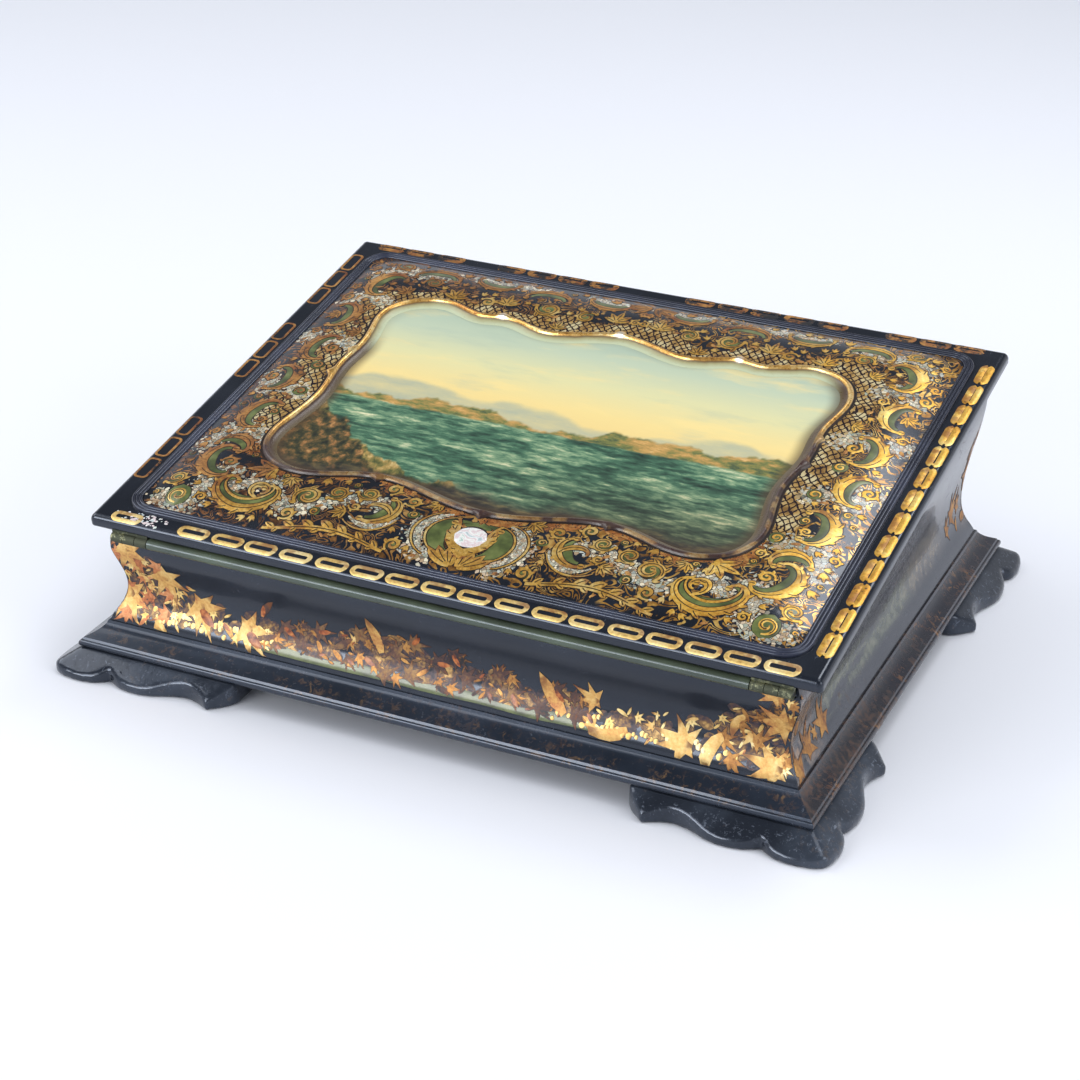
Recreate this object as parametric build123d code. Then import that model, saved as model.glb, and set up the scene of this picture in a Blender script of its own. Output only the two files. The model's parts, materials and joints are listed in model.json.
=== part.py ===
from build123d import *
import math
import os

# Writing box of moulded and lacquered boards, sloping lid hinged along its low front edge.
# Millimetres, +Z up, X across, -Y the low front. Origin on the floor under the middle.
# "inset" always means the distance inwards from the lower edge of the plinth.

# Overall outline
PLINTH_HALF_X = 194.0
PLINTH_HALF_Y = 153.5
SLOPE_DEG = 9.1
LID_SIDE_INSET = 4.0
LID_FRONT_INSET = 12.4
LID_BACK_INSET = 5.3
LID_THICKNESS = 6.5
LID_UNDERSIDE_Z = 75.3
LID_GAP = 0.4

# Walls
WALL_BOTTOM_Z = 24.6
WALL_INNER_INSET = 26.0
# Sections as (inset, height above the wall's foot); the last point is the rim, and the
# heights stretch with the rim where the box is made deeper or steeper.
FRONT_SECTION = [
    (12.2, 0.0), (12.5, 3.0), (14.3, 5.6), (16.6, 8.4), (18.4, 12.4), (19.3, 17.9),
    (18.7, 23.9), (17.0, 29.9), (15.1, 35.4), (13.7, 39.9), (13.8, 43.4), (15.5, 47.2),
    (17.0, 51.0),
]
BACK_SECTION = [
    (12.2, 0.0), (12.6, 2.8), (14.6, 5.4), (17.2, 9.0), (18.9, 14.4), (19.6, 22.9),
    (18.8, 34.4), (16.9, 46.4), (14.3, 58.9), (12.2, 71.4), (11.6, 81.4), (13.6, 89.0),
    (15.6, 95.0),
]

# Plinth and feet
PLINTH_BOTTOM_Z = 12.5
PLINTH_INNER_INSET = 30.0
BASE_BOARD_THICKNESS = 6.0
FOOT_INNER_INSET = 18.0
FOOT_SLOPE_OUT = 12.8
FOOT_SLOPE_Z = 3.4
FOOT_FRONT_NOTCH = 22.0
FOOT_FRONT_TIP = 79.0
FOOT_SIDE_NOTCH = 18.5
FOOT_SIDE_TIP = 77.5

# Lid hinge
HINGE_AXIS_V = -0.4
HINGE_RADIUS = 2.6
PIN_RADIUS = 1.0
PIN_CLEARANCE = 0.05
HINGE_INSET_X = 27.0
HINGE_LENGTH = 20.0
KNUCKLE_GAP = 0.3
LEAF_THICKNESS = 1.2
LEAF_LENGTH = 11.0
LID_LEAF_LENGTH = 15.0
BAR_END_GAP = 0.5
RUNNING_GAP = 0.4

# Lid top
REED_INSET_SIDE = 15.0
REED_INSET_END = 13.5
REED_WIDTH = 5.4
REED_CORNER = 14.0
REED_RADIUS = 0.95
REED_BASE = 0.6
FIELD_EDGE_RISE = 0.8
FIELD_SHOULDER_RISE = 3.9
FIELD_TOP_RISE = 5.4
FIELD_SHOULDER_IN = 17.0
FIELD_TOP_IN = 37.0
PICTURE_BORDER_SIDE = 39.0
PICTURE_BORDER_END = 42.0
PICTURE_SHIFT = -3.0
PANEL_RISE = 3.2
RIM_WIDTH = 3.6
RIM_RISE = 1.9

# Lining and writing flap
LINING_THICKNESS = 2.6
LINING_INSET = 12.0
LINING_FRONT_V = 32.0
FLAP_DROP = 3.4
VELVET_THICKNESS = 1.0
VELVET_MARGIN = 14.0
FLAP_THICKNESS = 5.0
FLAP_FRONT_V = 26.0
FLAP_OVERLAP = 4.5
FLAP_SIDE_GAP = 1.5
FLAP_AXIS_V = 25.0
FLAP_KNUCKLE_RADIUS = 1.5
FLAP_PIN_RADIUS = 0.7
FLAP_HINGE_INSET_X = 89.0
FLAP_HINGE_LENGTH = 30.0
RAIL_BACK_V = 23.2
RAIL_DEPTH = 21.6
LEDGE_WIDTH = 7.0
LEDGE_DEPTH = 8.0
TAB_WIDTH = 12.0
TAB_LENGTH = 9.0
TAB_THICKNESS = 0.8
FLAP_LEAF_LENGTH = 7.0
FLAP_LEAF_THICKNESS = 0.8

# Inside fittings
PEN_SPACE_DEPTH = 73.5
DIVIDER_THICKNESS = 6.0
WELL_WIDTH = 50.0
WELL_DEPTH = 47.5
THIN_WALL = 4.0
WELL_WALL_TOP_Z = 84.0
WELL_FLOOR_Z = 36.0
CROSS_WALL_THICKNESS = 3.0
TRAY_FLOOR_Z = 66.0
TRAY_FLOOR_THICKNESS = 3.0
TRAY_HEIGHT = 16.0
TRAY_WIDTH = 36.0
TRAY_GROOVE_RADIUS = 17.0
TRAY_GROOVE_DEPTH = 11.5
LINER_THICKNESS = 0.6

# Ink bottles
BOTTLE_SIZE = 42.0
BOTTLE_HEIGHT = 34.0
BOTTLE_BORE_RADIUS = 13.0
BOTTLE_FLOOR = 5.0
NECK_OUTER_RADIUS = 12.5
NECK_INNER_RADIUS = 9.5
NECK_HEIGHT = 7.0
COLLAR_OUTER_RADIUS = 14.5
COLLAR_HEIGHT = 5.0
CAP_THICKNESS = 2.6
CAP_DOME = 3.0
CAP_AXIS_OFFSET = 16.6
CAP_KNUCKLE_RADIUS = 1.4
CAP_PIN_RADIUS = 0.6

# Lock
LOCK_LENGTH = 52.0
LOCK_WIDTH = 8.0
LOCK_DEPTH = 20.0
LOCK_WALL = 1.0
LOCK_BEHIND_INNER = 5.7
LINK_LENGTH = 48.0
LINK_WIDTH = 10.0
LINK_THICKNESS = 1.2
LOCK_SCREW_INSET = 3.2
ESCUTCHEON_INSET = 11.3
ESCUTCHEON_THICKNESS = 1.3
ESCUTCHEON_RADIUS = 8.0
ESCUTCHEON_WIDTH = 12.4
SELVEDGE_LENGTH = 64.0
SELVEDGE_WIDTH = 10.0
SELVEDGE_THICKNESS = 1.6
LUG_SPACING = 14.0
LUG_THICKNESS = 2.0
LUG_WIDTH = 5.0
LUG_DEPTH = 9.0
EYE_SIZE = 3.6
BOLT_TRAVEL = 4.0
BOLT_FINGER = 2.0
KEYHOLE_RADIUS = 1.8
KEYHOLE_DROP = 4.6
SCREW_RADIUS = 1.3
SCREW_LENGTH = 1.6
SCREW_SPACING = 11.0
SCREW_INSET = 5.5

slope = math.radians(SLOPE_DEG)
inner_x = PLINTH_HALF_X - WALL_INNER_INSET
inner_y = PLINTH_HALF_Y - WALL_INNER_INSET
lid_half_x = PLINTH_HALF_X - LID_SIDE_INSET
lid_front_y = LID_FRONT_INSET - PLINTH_HALF_Y
lid_length = (PLINTH_HALF_Y - LID_BACK_INSET - lid_front_y) / math.cos(slope)
lid_frame = Pos(0, lid_front_y, LID_UNDERSIDE_Z) * Rot(SLOPE_DEG, 0, 0)


def on_slope(v, w):
    """Turn a distance up the slope and a height off the lid's underside into Y and Z."""
    y = lid_front_y + v * math.cos(slope) - w * math.sin(slope)
    z = LID_UNDERSIDE_Z + v * math.sin(slope) + w * math.cos(slope)
    return y, z


def plane_z(y, w):
    """Height at Y of the plane that lies w off the lid's underside."""
    return LID_UNDERSIDE_Z + (y - lid_front_y) * math.tan(slope) + w / math.cos(slope)


def box_between(x0, x1, y0, y1, z0, z1):
    """Box given by its low and high corners."""
    return Pos((x0 + x1) / 2, (y0 + y1) / 2, (z0 + z1) / 2) * Box(x1 - x0, y1 - y0, z1 - z0)


def slope_box(x0, x1, v0, v1, w0, w1):
    """Box that lies in the lid's tilted frame."""
    return lid_frame * box_between(x0, x1, v0, v1, w0, w1)


def below_plane(w):
    """Everything under the plane that lies w off the lid's underside."""
    return slope_box(-250, 250, -80, 380, w - 200, w)


def rod(x0, x1, y, z, radius):
    """Round bar along X."""
    return Pos((x0 + x1) / 2, y, z) * Rot(0, 90, 0) * Cylinder(radius, x1 - x0)


def screw_at(x, v, w):
    """Short screw that stands on the plane w off the lid's underside."""
    return lid_frame * Pos(x, v, w + SCREW_LENGTH / 2) * Cylinder(SCREW_RADIUS, SCREW_LENGTH)


pieces = {}


def keep(name, solid):
    """Remember a finished piece under its name."""
    pieces[name] = solid


# Mitred mouldings: each run is lofted between its sections in the two mitre planes.
CORNERS = {
    "front_left": (-1, -1),
    "front_right": (1, -1),
    "back_left": (-1, 1),
    "back_right": (1, 1),
}
RUNS = {
    "front": ("front_left", "front_right"),
    "back": ("back_left", "back_right"),
    "left": ("front_left", "back_left"),
    "right": ("front_right", "back_right"),
}


def mitre_face(corner, curves):
    """Face in a corner's mitre plane, from curves of (inset, z) points joined end to end."""
    sx, sy = CORNERS[corner]
    edges = []
    for curve in curves:
        points = [
            Vector(sx * (PLINTH_HALF_X - inset), sy * (PLINTH_HALF_Y - inset), z)
            for inset, z in curve
        ]
        edges.append(Edge.make_spline(points) if len(points) > 2 else Edge.make_line(*points))
    return Face(Wire(edges))


def mitred_run(run, curves_at):
    """Solid between the mitre planes at both ends of a run."""
    first, second = RUNS[run]
    return loft([mitre_face(c, curves_at(c)) for c in (first, second)], ruled=True)


# Plinth: bead at the lower edge, small step, hollow slope up to the walls.
def plinth_curves(corner):
    arris = [(1.4, PLINTH_BOTTOM_Z), (0.8, PLINTH_BOTTOM_Z + 0.15)]
    bead = [(0.8, PLINTH_BOTTOM_Z + 0.15), (0.2, 13.3), (0.0, 14.3), (0.3, 15.5), (1.4, 16.1)]
    step = [(1.4, 16.1), (2.0, 17.2)]
    hollow = [(2.0, 17.2), (4.6, 18.5), (8.0, 20.6), (10.6, 23.2)]
    fillet = [(10.6, 23.2), (11.2, WALL_BOTTOM_Z)]
    top = [(11.2, WALL_BOTTOM_Z), (PLINTH_INNER_INSET, WALL_BOTTOM_Z)]
    inner = [(PLINTH_INNER_INSET, WALL_BOTTOM_Z), (PLINTH_INNER_INSET, PLINTH_BOTTOM_Z)]
    bottom = [(PLINTH_INNER_INSET, PLINTH_BOTTOM_Z), (1.4, PLINTH_BOTTOM_Z)]
    return [arris, bead, step, hollow, fillet, top, inner, bottom]


for run in RUNS:
    keep("plinth_" + run, mitred_run(run, plinth_curves))

base_x = PLINTH_HALF_X - PLINTH_INNER_INSET
base_y = PLINTH_HALF_Y - PLINTH_INNER_INSET
base_z = WALL_BOTTOM_Z - BASE_BOARD_THICKNESS
keep("base_board", box_between(-base_x, base_x, -base_y, base_y, base_z, WALL_BOTTOM_Z))


# Feet: sloping moulding round the corner, cut to a scalloped plan outline.
def foot_curves(corner):
    return [
        [(FOOT_INNER_INSET, PLINTH_BOTTOM_Z), (0.8, PLINTH_BOTTOM_Z)],
        [(0.8, PLINTH_BOTTOM_Z), (-FOOT_SLOPE_OUT, FOOT_SLOPE_Z)],
        [(-FOOT_SLOPE_OUT, FOOT_SLOPE_Z), (-FOOT_SLOPE_OUT, 0)],
        [(-FOOT_SLOPE_OUT, 0), (FOOT_INNER_INSET, 0)],
        [(FOOT_INNER_INSET, 0), (FOOT_INNER_INSET, PLINTH_BOTTOM_Z)],
    ]


def wing_points(notch, tip):
    """Scallop beyond the notch and the curled end, as (along the edge, outwards)."""
    reach = tip - notch
    scallop = [
        (notch, 5.8), (notch + 0.09 * reach, 9.6), (notch + 0.24 * reach, 11.4),
        (notch + 0.42 * reach, 10.6), (notch + 0.60 * reach, 6.4),
        (notch + 0.74 * reach, 4.5), (notch + 0.88 * reach, 6.2), (tip, 10.2),
    ]
    end = [(tip, 10.2), (tip + 5, 5.2), (tip + 9, 1.0), (tip + 11, -6.0)]
    back = [(tip + 11, -6.0), (tip + 11, -FOOT_INNER_INSET)]
    return scallop, end, back


def foot_outline(corner):
    sx, sy = CORNERS[corner]

    def front(point):
        along, out = point
        return Vector(sx * (PLINTH_HALF_X - along), sy * (PLINTH_HALF_Y + out), 0)

    def side(point):
        along, out = point
        return Vector(sx * (PLINTH_HALF_X + out), sy * (PLINTH_HALF_Y - along), 0)

    lobe = [front((FOOT_FRONT_NOTCH, 5.8)), front((16, 10.6)), front((4, 12.2))]
    lobe += [front((-8.6, 8.6))]
    lobe += [side((4, 12.2)), side((14, 10.6)), side((FOOT_SIDE_NOTCH, 5.8))]
    front_curves = wing_points(FOOT_FRONT_NOTCH, FOOT_FRONT_TIP)
    side_curves = wing_points(FOOT_SIDE_NOTCH, FOOT_SIDE_TIP)
    edges = [Edge.make_spline(lobe)]
    for place, curves in ((front, front_curves), (side, side_curves)):
        for curve in curves:
            points = [place(p) for p in curve]
            edges.append(Edge.make_spline(points) if len(points) > 2 else Edge.make_line(*points))
    inner = Vector(sx * (PLINTH_HALF_X - FOOT_INNER_INSET), sy * (PLINTH_HALF_Y - FOOT_INNER_INSET), 0)
    edges.append(Edge.make_line(front(front_curves[2][1]), inner))
    edges.append(Edge.make_line(inner, side(side_curves[2][1])))
    return Face(Wire(edges))


for corner, (sx, sy) in CORNERS.items():
    outline = foot_outline(corner)
    if outline.normal_at().Z < 0:
        outline = -outline
    prism = extrude(outline, amount=PLINTH_BOTTOM_Z, dir=(0, 0, 1))
    end_run = "front" if sy < 0 else "back"
    side_run = "right" if sx > 0 else "left"
    ring = mitred_run(end_run, foot_curves) + mitred_run(side_run, foot_curves)
    keep("foot_" + corner, ring & prism)


# Walls: hollow waist and swelling top; the side boards grow taller towards the back.
def wall_curves(corner):
    at_front = corner.startswith("front")
    section = FRONT_SECTION if at_front else BACK_SECTION
    rim, drawn_height = section[-1]
    sy = -1 if at_front else 1
    rim_z = plane_z(sy * (PLINTH_HALF_Y - rim), -LID_GAP)
    inner_z = plane_z(sy * inner_y, -LID_GAP)
    stretch = (rim_z - WALL_BOTTOM_Z) / drawn_height
    outer = [(inset, WALL_BOTTOM_Z + up * stretch) for inset, up in section]
    return [
        outer,
        [(rim, rim_z), (WALL_INNER_INSET, inner_z)],
        [(WALL_INNER_INSET, inner_z), (WALL_INNER_INSET, WALL_BOTTOM_Z)],
        [(WALL_INNER_INSET, WALL_BOTTOM_Z), outer[0]],
    ]


walls = {run: mitred_run(run, wall_curves) for run in RUNS}


def cut_walls(solid, *names):
    """Take a recess out of the named walls."""
    for run in names:
        walls[run] -= solid


# Rounded bar along the front rim, in line with the hinge knuckles.
axis_y, axis_z = on_slope(HINGE_AXIS_V, -LID_GAP - HINGE_RADIUS)
shelf_z = axis_z - HINGE_RADIUS - RUNNING_GAP
rebate_y = axis_y + HINGE_RADIUS + RUNNING_GAP
hinge_centre_x = PLINTH_HALF_X - HINGE_INSET_X
hinge_in = hinge_centre_x - HINGE_LENGTH / 2
hinge_out = hinge_centre_x + HINGE_LENGTH / 2
rebate_half = hinge_out + BAR_END_GAP
rebate = box_between(-rebate_half, rebate_half, -PLINTH_HALF_Y, rebate_y, shelf_z, 90)
cut_walls(rebate, "front")
bar_half = hinge_in - BAR_END_GAP
bar = rod(-bar_half, bar_half, axis_y, axis_z, HINGE_RADIUS)
bar_back = box_between(-bar_half, bar_half, axis_y, rebate_y, shelf_z, 90) & below_plane(-LID_GAP)
keep("front_bar", bar + bar_back)

# Butt hinges of the lid: two lid knuckles outside one body knuckle, on a steel pin.
knuckle = (HINGE_LENGTH - 2 * KNUCKLE_GAP) / 3
hinge_pins = []
leaf_screws = []
lid_screws = []
lid_leaf_cut = None
for side, sign in (("left", -1), ("right", 1)):
    centre = sign * hinge_centre_x
    x0 = centre - HINGE_LENGTH / 2
    x1 = centre + HINGE_LENGTH / 2
    pin_hole = rod(x0 - 1, x1 + 1, axis_y, axis_z, PIN_RADIUS + PIN_CLEARANCE)
    body_part = rod(centre - knuckle / 2, centre + knuckle / 2, axis_y, axis_z, HINGE_RADIUS)
    strap = box_between(centre - knuckle / 2, centre + knuckle / 2, axis_y, rebate_y, axis_z, 90)
    body_part += strap & below_plane(-LID_GAP)
    leaf_top = -LID_GAP
    leaf_v0 = (rebate_y - lid_front_y) / math.cos(slope)
    leaf = slope_box(x0, x1, leaf_v0 - 0.6, leaf_v0 + LEAF_LENGTH, leaf_top - LEAF_THICKNESS, leaf_top)
    clear = box_between(x0 - 1, x1 + 1, rebate_y - 50, rebate_y, 0, 200)
    body_leaf = body_part + (leaf - clear)
    recess = slope_box(x0, x1, leaf_v0 - 0.6, leaf_v0 + LEAF_LENGTH, leaf_top - LEAF_THICKNESS, 2)
    for dx in (-SCREW_SPACING / 2, SCREW_SPACING / 2):
        screw = screw_at(centre + dx, leaf_v0 + LEAF_LENGTH - SCREW_INSET, leaf_top - SCREW_LENGTH)
        leaf_screws.append(screw)
        body_leaf -= screw
        recess += screw
    keep("hinge_leaf_body_" + side, body_leaf - pin_hole)
    cut_walls(recess, "front", side)
    lid_part = None
    for x in (x0 + knuckle / 2, x1 - knuckle / 2):
        barrel = rod(x - knuckle / 2, x + knuckle / 2, axis_y, axis_z, HINGE_RADIUS)
        arm = slope_box(
            x - knuckle / 2, x + knuckle / 2, HINGE_AXIS_V, HINGE_AXIS_V + HINGE_RADIUS,
            -LID_GAP - HINGE_RADIUS, LEAF_THICKNESS,
        )
        lid_part = barrel + arm if lid_part is None else lid_part + barrel + arm
    lid_leaf = slope_box(x0, x1, HINGE_AXIS_V, LID_LEAF_LENGTH, 0, LEAF_THICKNESS)
    lid_part += lid_leaf
    cut = slope_box(x0, x1, -2, LID_LEAF_LENGTH, -1, LEAF_THICKNESS)
    lid_leaf_cut = cut if lid_leaf_cut is None else lid_leaf_cut + cut
    for dx in (-SCREW_SPACING / 2, SCREW_SPACING / 2):
        screw = screw_at(centre + dx, LID_LEAF_LENGTH - SCREW_INSET, 0)
        lid_screws.append(screw)
        lid_part -= screw
    keep("hinge_leaf_lid_" + side, lid_part - pin_hole)
    hinge_pins.append(rod(x0, x1, axis_y, axis_z, PIN_RADIUS))
keep("hinge_pins", Compound(children=hinge_pins))

# Lid board with rounded edges.
lid_centre_v = lid_length / 2


def rounded(half_x, half_v, radius, w, shift=0.0):
    """Rounded rectangle in the lid's own frame, w above the lid's underside."""
    return Pos(shift, lid_centre_v, w) * RectangleRounded(2 * half_x, 2 * half_v, radius)


board = extrude(rounded(lid_half_x, lid_length / 2, 2.5, 0), amount=LID_THICKNESS)
board = fillet(board.edges().group_by(Axis.Z)[-1], 3.2)
board = fillet(board.edges().group_by(Axis.Z)[0], 1.2)
lid_board = lid_frame * board - lid_leaf_cut
for screw in lid_screws:
    lid_board -= screw

# Reeded moulding on the lid.
reed_x = lid_half_x - REED_INSET_SIDE
reed_v = lid_length / 2 - REED_INSET_END
reed = extrude(rounded(reed_x + REED_WIDTH / 2, reed_v + REED_WIDTH / 2, REED_CORNER, LID_THICKNESS), REED_BASE)
reed -= extrude(
    rounded(reed_x - REED_WIDTH / 2, reed_v - REED_WIDTH / 2, REED_CORNER - REED_WIDTH, LID_THICKNESS),
    REED_BASE,
)
for k in (-1, 0, 1):
    offset = k * (REED_WIDTH / 2 - REED_RADIUS + 0.05)
    path = rounded(reed_x + offset, reed_v + offset, REED_CORNER - REED_WIDTH / 2 + offset, LID_THICKNESS + REED_BASE)
    wire = path.wire()
    start = wire.location_at(0.05)
    bead = sweep(Plane(origin=start.position, z_dir=wire.tangent_at(0.05)) * Circle(REED_RADIUS), wire)
    reed += bead
reed -= extrude(rounded(lid_half_x, lid_length / 2, 2.5, 0), amount=LID_THICKNESS)
keep("lid_reed", lid_frame * reed)

# Cushion-shaped field between the reeds and the picture.
field_x = reed_x - REED_WIDTH / 2 - 0.2
field_v = reed_v - REED_WIDTH / 2 - 0.2
steps = [
    (0.0, 0.0, 9.0),
    (0.0, FIELD_EDGE_RISE, 9.0),
    (FIELD_SHOULDER_IN, FIELD_SHOULDER_RISE, 16.0),
    (FIELD_TOP_IN, FIELD_TOP_RISE, 26.0),
]
sections = [
    rounded(field_x - inwards, field_v - inwards, radius, LID_THICKNESS + rise)
    for inwards, rise, radius in steps
]
field = loft(sections[:2], ruled=True) + loft(sections[1:], ruled=True)

# Serpentine outline of the picture, as shares of its half width and half height.
CARTOUCHE = [
    (-1.00, 0.68), (-0.96, 0.90), (-0.85, 1.00), (-0.74, 1.00), (-0.63, 0.93), (-0.50, 0.95),
    (-0.33, 0.875), (-0.20, 0.90), (0.00, 0.98), (0.20, 0.90), (0.33, 0.875), (0.50, 0.95),
    (0.63, 0.93), (0.74, 1.00), (0.85, 1.00), (0.96, 0.90), (1.00, 0.68), (0.97, 0.41),
    (0.98, 0.14), (0.955, -0.18), (0.98, -0.48), (0.99, -0.70), (0.93, -0.875), (0.81, -0.955),
    (0.69, -0.94), (0.54, -0.865), (0.41, -0.85), (0.225, -0.92), (0.00, -0.98),
    (-0.225, -0.92), (-0.41, -0.85), (-0.54, -0.865), (-0.69, -0.94), (-0.81, -0.955),
    (-0.93, -0.875), (-0.99, -0.70), (-0.98, -0.48), (-0.955, -0.18), (-0.98, 0.14),
    (-0.97, 0.41),
]
picture_x = field_x - PICTURE_BORDER_SIDE
picture_v = field_v - PICTURE_BORDER_END


def cartouche_wire(w, grow=0.0):
    """Closed outline of the picture, grown outwards along its own normals."""
    outline = [(x * picture_x, v * picture_v) for x, v in CARTOUCHE]
    count = len(outline)
    points = []
    for i, (x, v) in enumerate(outline):
        ax, av = outline[i - 1]
        bx, bv = outline[(i + 1) % count]
        tx, tv = bx - ax, bv - av
        size = math.hypot(tx, tv)
        nx, nv = -tv / size, tx / size
        points.append(Vector(x + nx * grow + PICTURE_SHIFT, lid_centre_v + v + nv * grow, w))
    return Wire([Edge.make_spline(points, periodic=True)])


def cartouche_prism(w0, w1, grow=0.0):
    face = Face(cartouche_wire(w0, grow))
    if face.normal_at().Z < 0:
        face = -face
    return extrude(face, amount=w1 - w0, dir=(0, 0, 1))


field_top = LID_THICKNESS + FIELD_TOP_RISE
field -= cartouche_prism(LID_THICKNESS, field_top + 1)
keep("lid_field", lid_frame * field)
keep("painted_panel", lid_frame * cartouche_prism(LID_THICKNESS, LID_THICKNESS + PANEL_RISE))
rim = cartouche_prism(field_top, field_top + RIM_RISE, RIM_WIDTH / 2)
rim -= cartouche_prism(field_top - 1, field_top + RIM_RISE + 1)
keep("cartouche_rim", lid_frame * rim)

# Velvet-covered lining under the lid.
lining_v1 = (inner_y - lid_front_y) / math.cos(slope) - LINING_INSET
lining_x = inner_x - LINING_INSET
keep("lid_lining", slope_box(-lining_x, lining_x, LINING_FRONT_V, lining_v1, -LINING_THICKNESS, 0))

# Writing flap, hinged along its front edge to a rail on the front wall.
flap_top = -FLAP_DROP - VELVET_THICKNESS
flap_bottom = flap_top - FLAP_THICKNESS
flap_x = inner_x - FLAP_SIDE_GAP
divider_back = inner_y - PEN_SPACE_DEPTH
divider_front = divider_back - DIVIDER_THICKNESS
flap_back_v = (divider_front + FLAP_OVERLAP - lid_front_y) / math.cos(slope)
keep("flap_board", slope_box(-flap_x, flap_x, FLAP_FRONT_V, flap_back_v, flap_bottom, flap_top))
keep("flap_velvet", slope_box(
    -flap_x + VELVET_MARGIN, flap_x - VELVET_MARGIN, FLAP_FRONT_V + VELVET_MARGIN,
    flap_back_v - VELVET_MARGIN, flap_top, flap_top + VELVET_THICKNESS,
))
tab_w = flap_top - FLAP_THICKNESS / 2
keep("flap_tab", slope_box(
    -TAB_WIDTH / 2, TAB_WIDTH / 2, flap_back_v, flap_back_v + TAB_LENGTH, tab_w, tab_w + TAB_THICKNESS,
))
rail_v0 = (-inner_y - lid_front_y) / math.cos(slope)
rail_top = flap_top + 0.2
rail = slope_box(-inner_x, inner_x, rail_v0 - 4, RAIL_BACK_V, rail_top - RAIL_DEPTH, rail_top)
rail -= box_between(-inner_x - 1, inner_x + 1, -inner_y - 50, -inner_y, 0, 200)

flap_axis_w = rail_top
flap_leaves = []
rail_leaves = []
flap_pins = []
flap_knuckle = (FLAP_HINGE_LENGTH - 2 * KNUCKLE_GAP) / 3
for sign in (-1, 1):
    centre = sign * (PLINTH_HALF_X - FLAP_HINGE_INSET_X)
    x0 = centre - FLAP_HINGE_LENGTH / 2
    x1 = centre + FLAP_HINGE_LENGTH / 2
    ya, za = on_slope(FLAP_AXIS_V, flap_axis_w)
    hole = rod(x0 - 1, x1 + 1, ya, za, FLAP_PIN_RADIUS + PIN_CLEARANCE)
    relief = rod(x0 - 0.4, x1 + 0.4, ya, za, FLAP_KNUCKLE_RADIUS + RUNNING_GAP)
    fixed = rod(centre - flap_knuckle / 2, centre + flap_knuckle / 2, ya, za, FLAP_KNUCKLE_RADIUS)
    leaf_w = rail_top - FLAP_LEAF_THICKNESS
    plate = slope_box(x0, x1, RAIL_BACK_V - FLAP_LEAF_LENGTH, RAIL_BACK_V, leaf_w, rail_top)
    bridge = slope_box(
        centre - flap_knuckle / 2, centre + flap_knuckle / 2, RAIL_BACK_V - 1, FLAP_AXIS_V,
        leaf_w, rail_top,
    )
    rail -= relief
    rail -= plate
    rail_leaves.append((fixed + bridge + plate) - hole)
    moving = None
    for x in (x0 + flap_knuckle / 2, x1 - flap_knuckle / 2):
        part = rod(x - flap_knuckle / 2, x + flap_knuckle / 2, ya, za, FLAP_KNUCKLE_RADIUS)
        part += slope_box(
            x - flap_knuckle / 2, x + flap_knuckle / 2, FLAP_AXIS_V, FLAP_FRONT_V + 4,
            flap_top, flap_top + FLAP_LEAF_THICKNESS,
        )
        moving = part if moving is None else moving + part
    leaf_v = FLAP_FRONT_V + 2
    moving += slope_box(
        x0, x1, leaf_v, leaf_v + FLAP_LEAF_LENGTH, flap_top, flap_top + FLAP_LEAF_THICKNESS,
    )
    board = pieces["flap_board"] - relief
    pieces["flap_board"] = board
    flap_leaves.append(moving - hole)
    flap_pins.append(rod(x0, x1, ya, za, FLAP_PIN_RADIUS))
keep("flap_rail", rail)
keep("flap_hinge_leaves_fixed", Compound(children=rail_leaves))
keep("flap_hinge_leaves_moving", Compound(children=flap_leaves))
keep("flap_hinge_pins", Compound(children=flap_pins))

# Ledges, divider, wells and trays.
ledge_top = flap_bottom - RUNNING_GAP
for side, sign in (("left", -1), ("right", 1)):
    x0, x1 = sorted((sign * inner_x, sign * (inner_x - LEDGE_WIDTH)))
    ledge = slope_box(x0, x1, RAIL_BACK_V + 4, flap_back_v, ledge_top - LEDGE_DEPTH, ledge_top)
    keep("flap_ledge_" + side, ledge & box_between(-250, 250, -250, divider_front, 0, 250))
liner_z = WALL_BOTTOM_Z + LINER_THICKNESS
keep("floor_liner", box_between(-inner_x, inner_x, -inner_y, divider_front, WALL_BOTTOM_Z, liner_z))
divider = box_between(-inner_x, inner_x, divider_front, divider_back, WALL_BOTTOM_Z, 140)
keep("divider", divider & below_plane(ledge_top))
well_inner = inner_x - WELL_WIDTH
tray_x = well_inner - THIN_WALL
cross_y0 = divider_back + WELL_DEPTH
for side, sign in (("left", -1), ("right", 1)):
    x0, x1 = sorted((sign * tray_x, sign * well_inner))
    keep("well_wall_" + side, box_between(x0, x1, divider_back, inner_y, WALL_BOTTOM_Z, WELL_WALL_TOP_Z))
    a, b = sorted((sign * well_inner, sign * inner_x))
    floor_z0 = WELL_FLOOR_Z - TRAY_FLOOR_THICKNESS
    keep("well_floor_" + side, box_between(a, b, divider_back, inner_y, floor_z0, WELL_FLOOR_Z))
    cross_y1 = cross_y0 + CROSS_WALL_THICKNESS
    keep("well_cross_" + side, box_between(a, b, cross_y0, cross_y1, WELL_FLOOR_Z, WELL_WALL_TOP_Z))
tray_floor_z0 = TRAY_FLOOR_Z - TRAY_FLOOR_THICKNESS
keep("tray_floor", box_between(-tray_x, tray_x, divider_back, inner_y, tray_floor_z0, TRAY_FLOOR_Z))
tray_y0 = divider_back + 0.4
tray_y1 = tray_y0 + TRAY_WIDTH
tray_top = TRAY_FLOOR_Z + TRAY_HEIGHT
tray = box_between(-tray_x + 0.4, tray_x - 0.4, tray_y0, tray_y1, TRAY_FLOOR_Z, tray_top)
groove_z = tray_top - TRAY_GROOVE_DEPTH + TRAY_GROOVE_RADIUS
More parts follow.
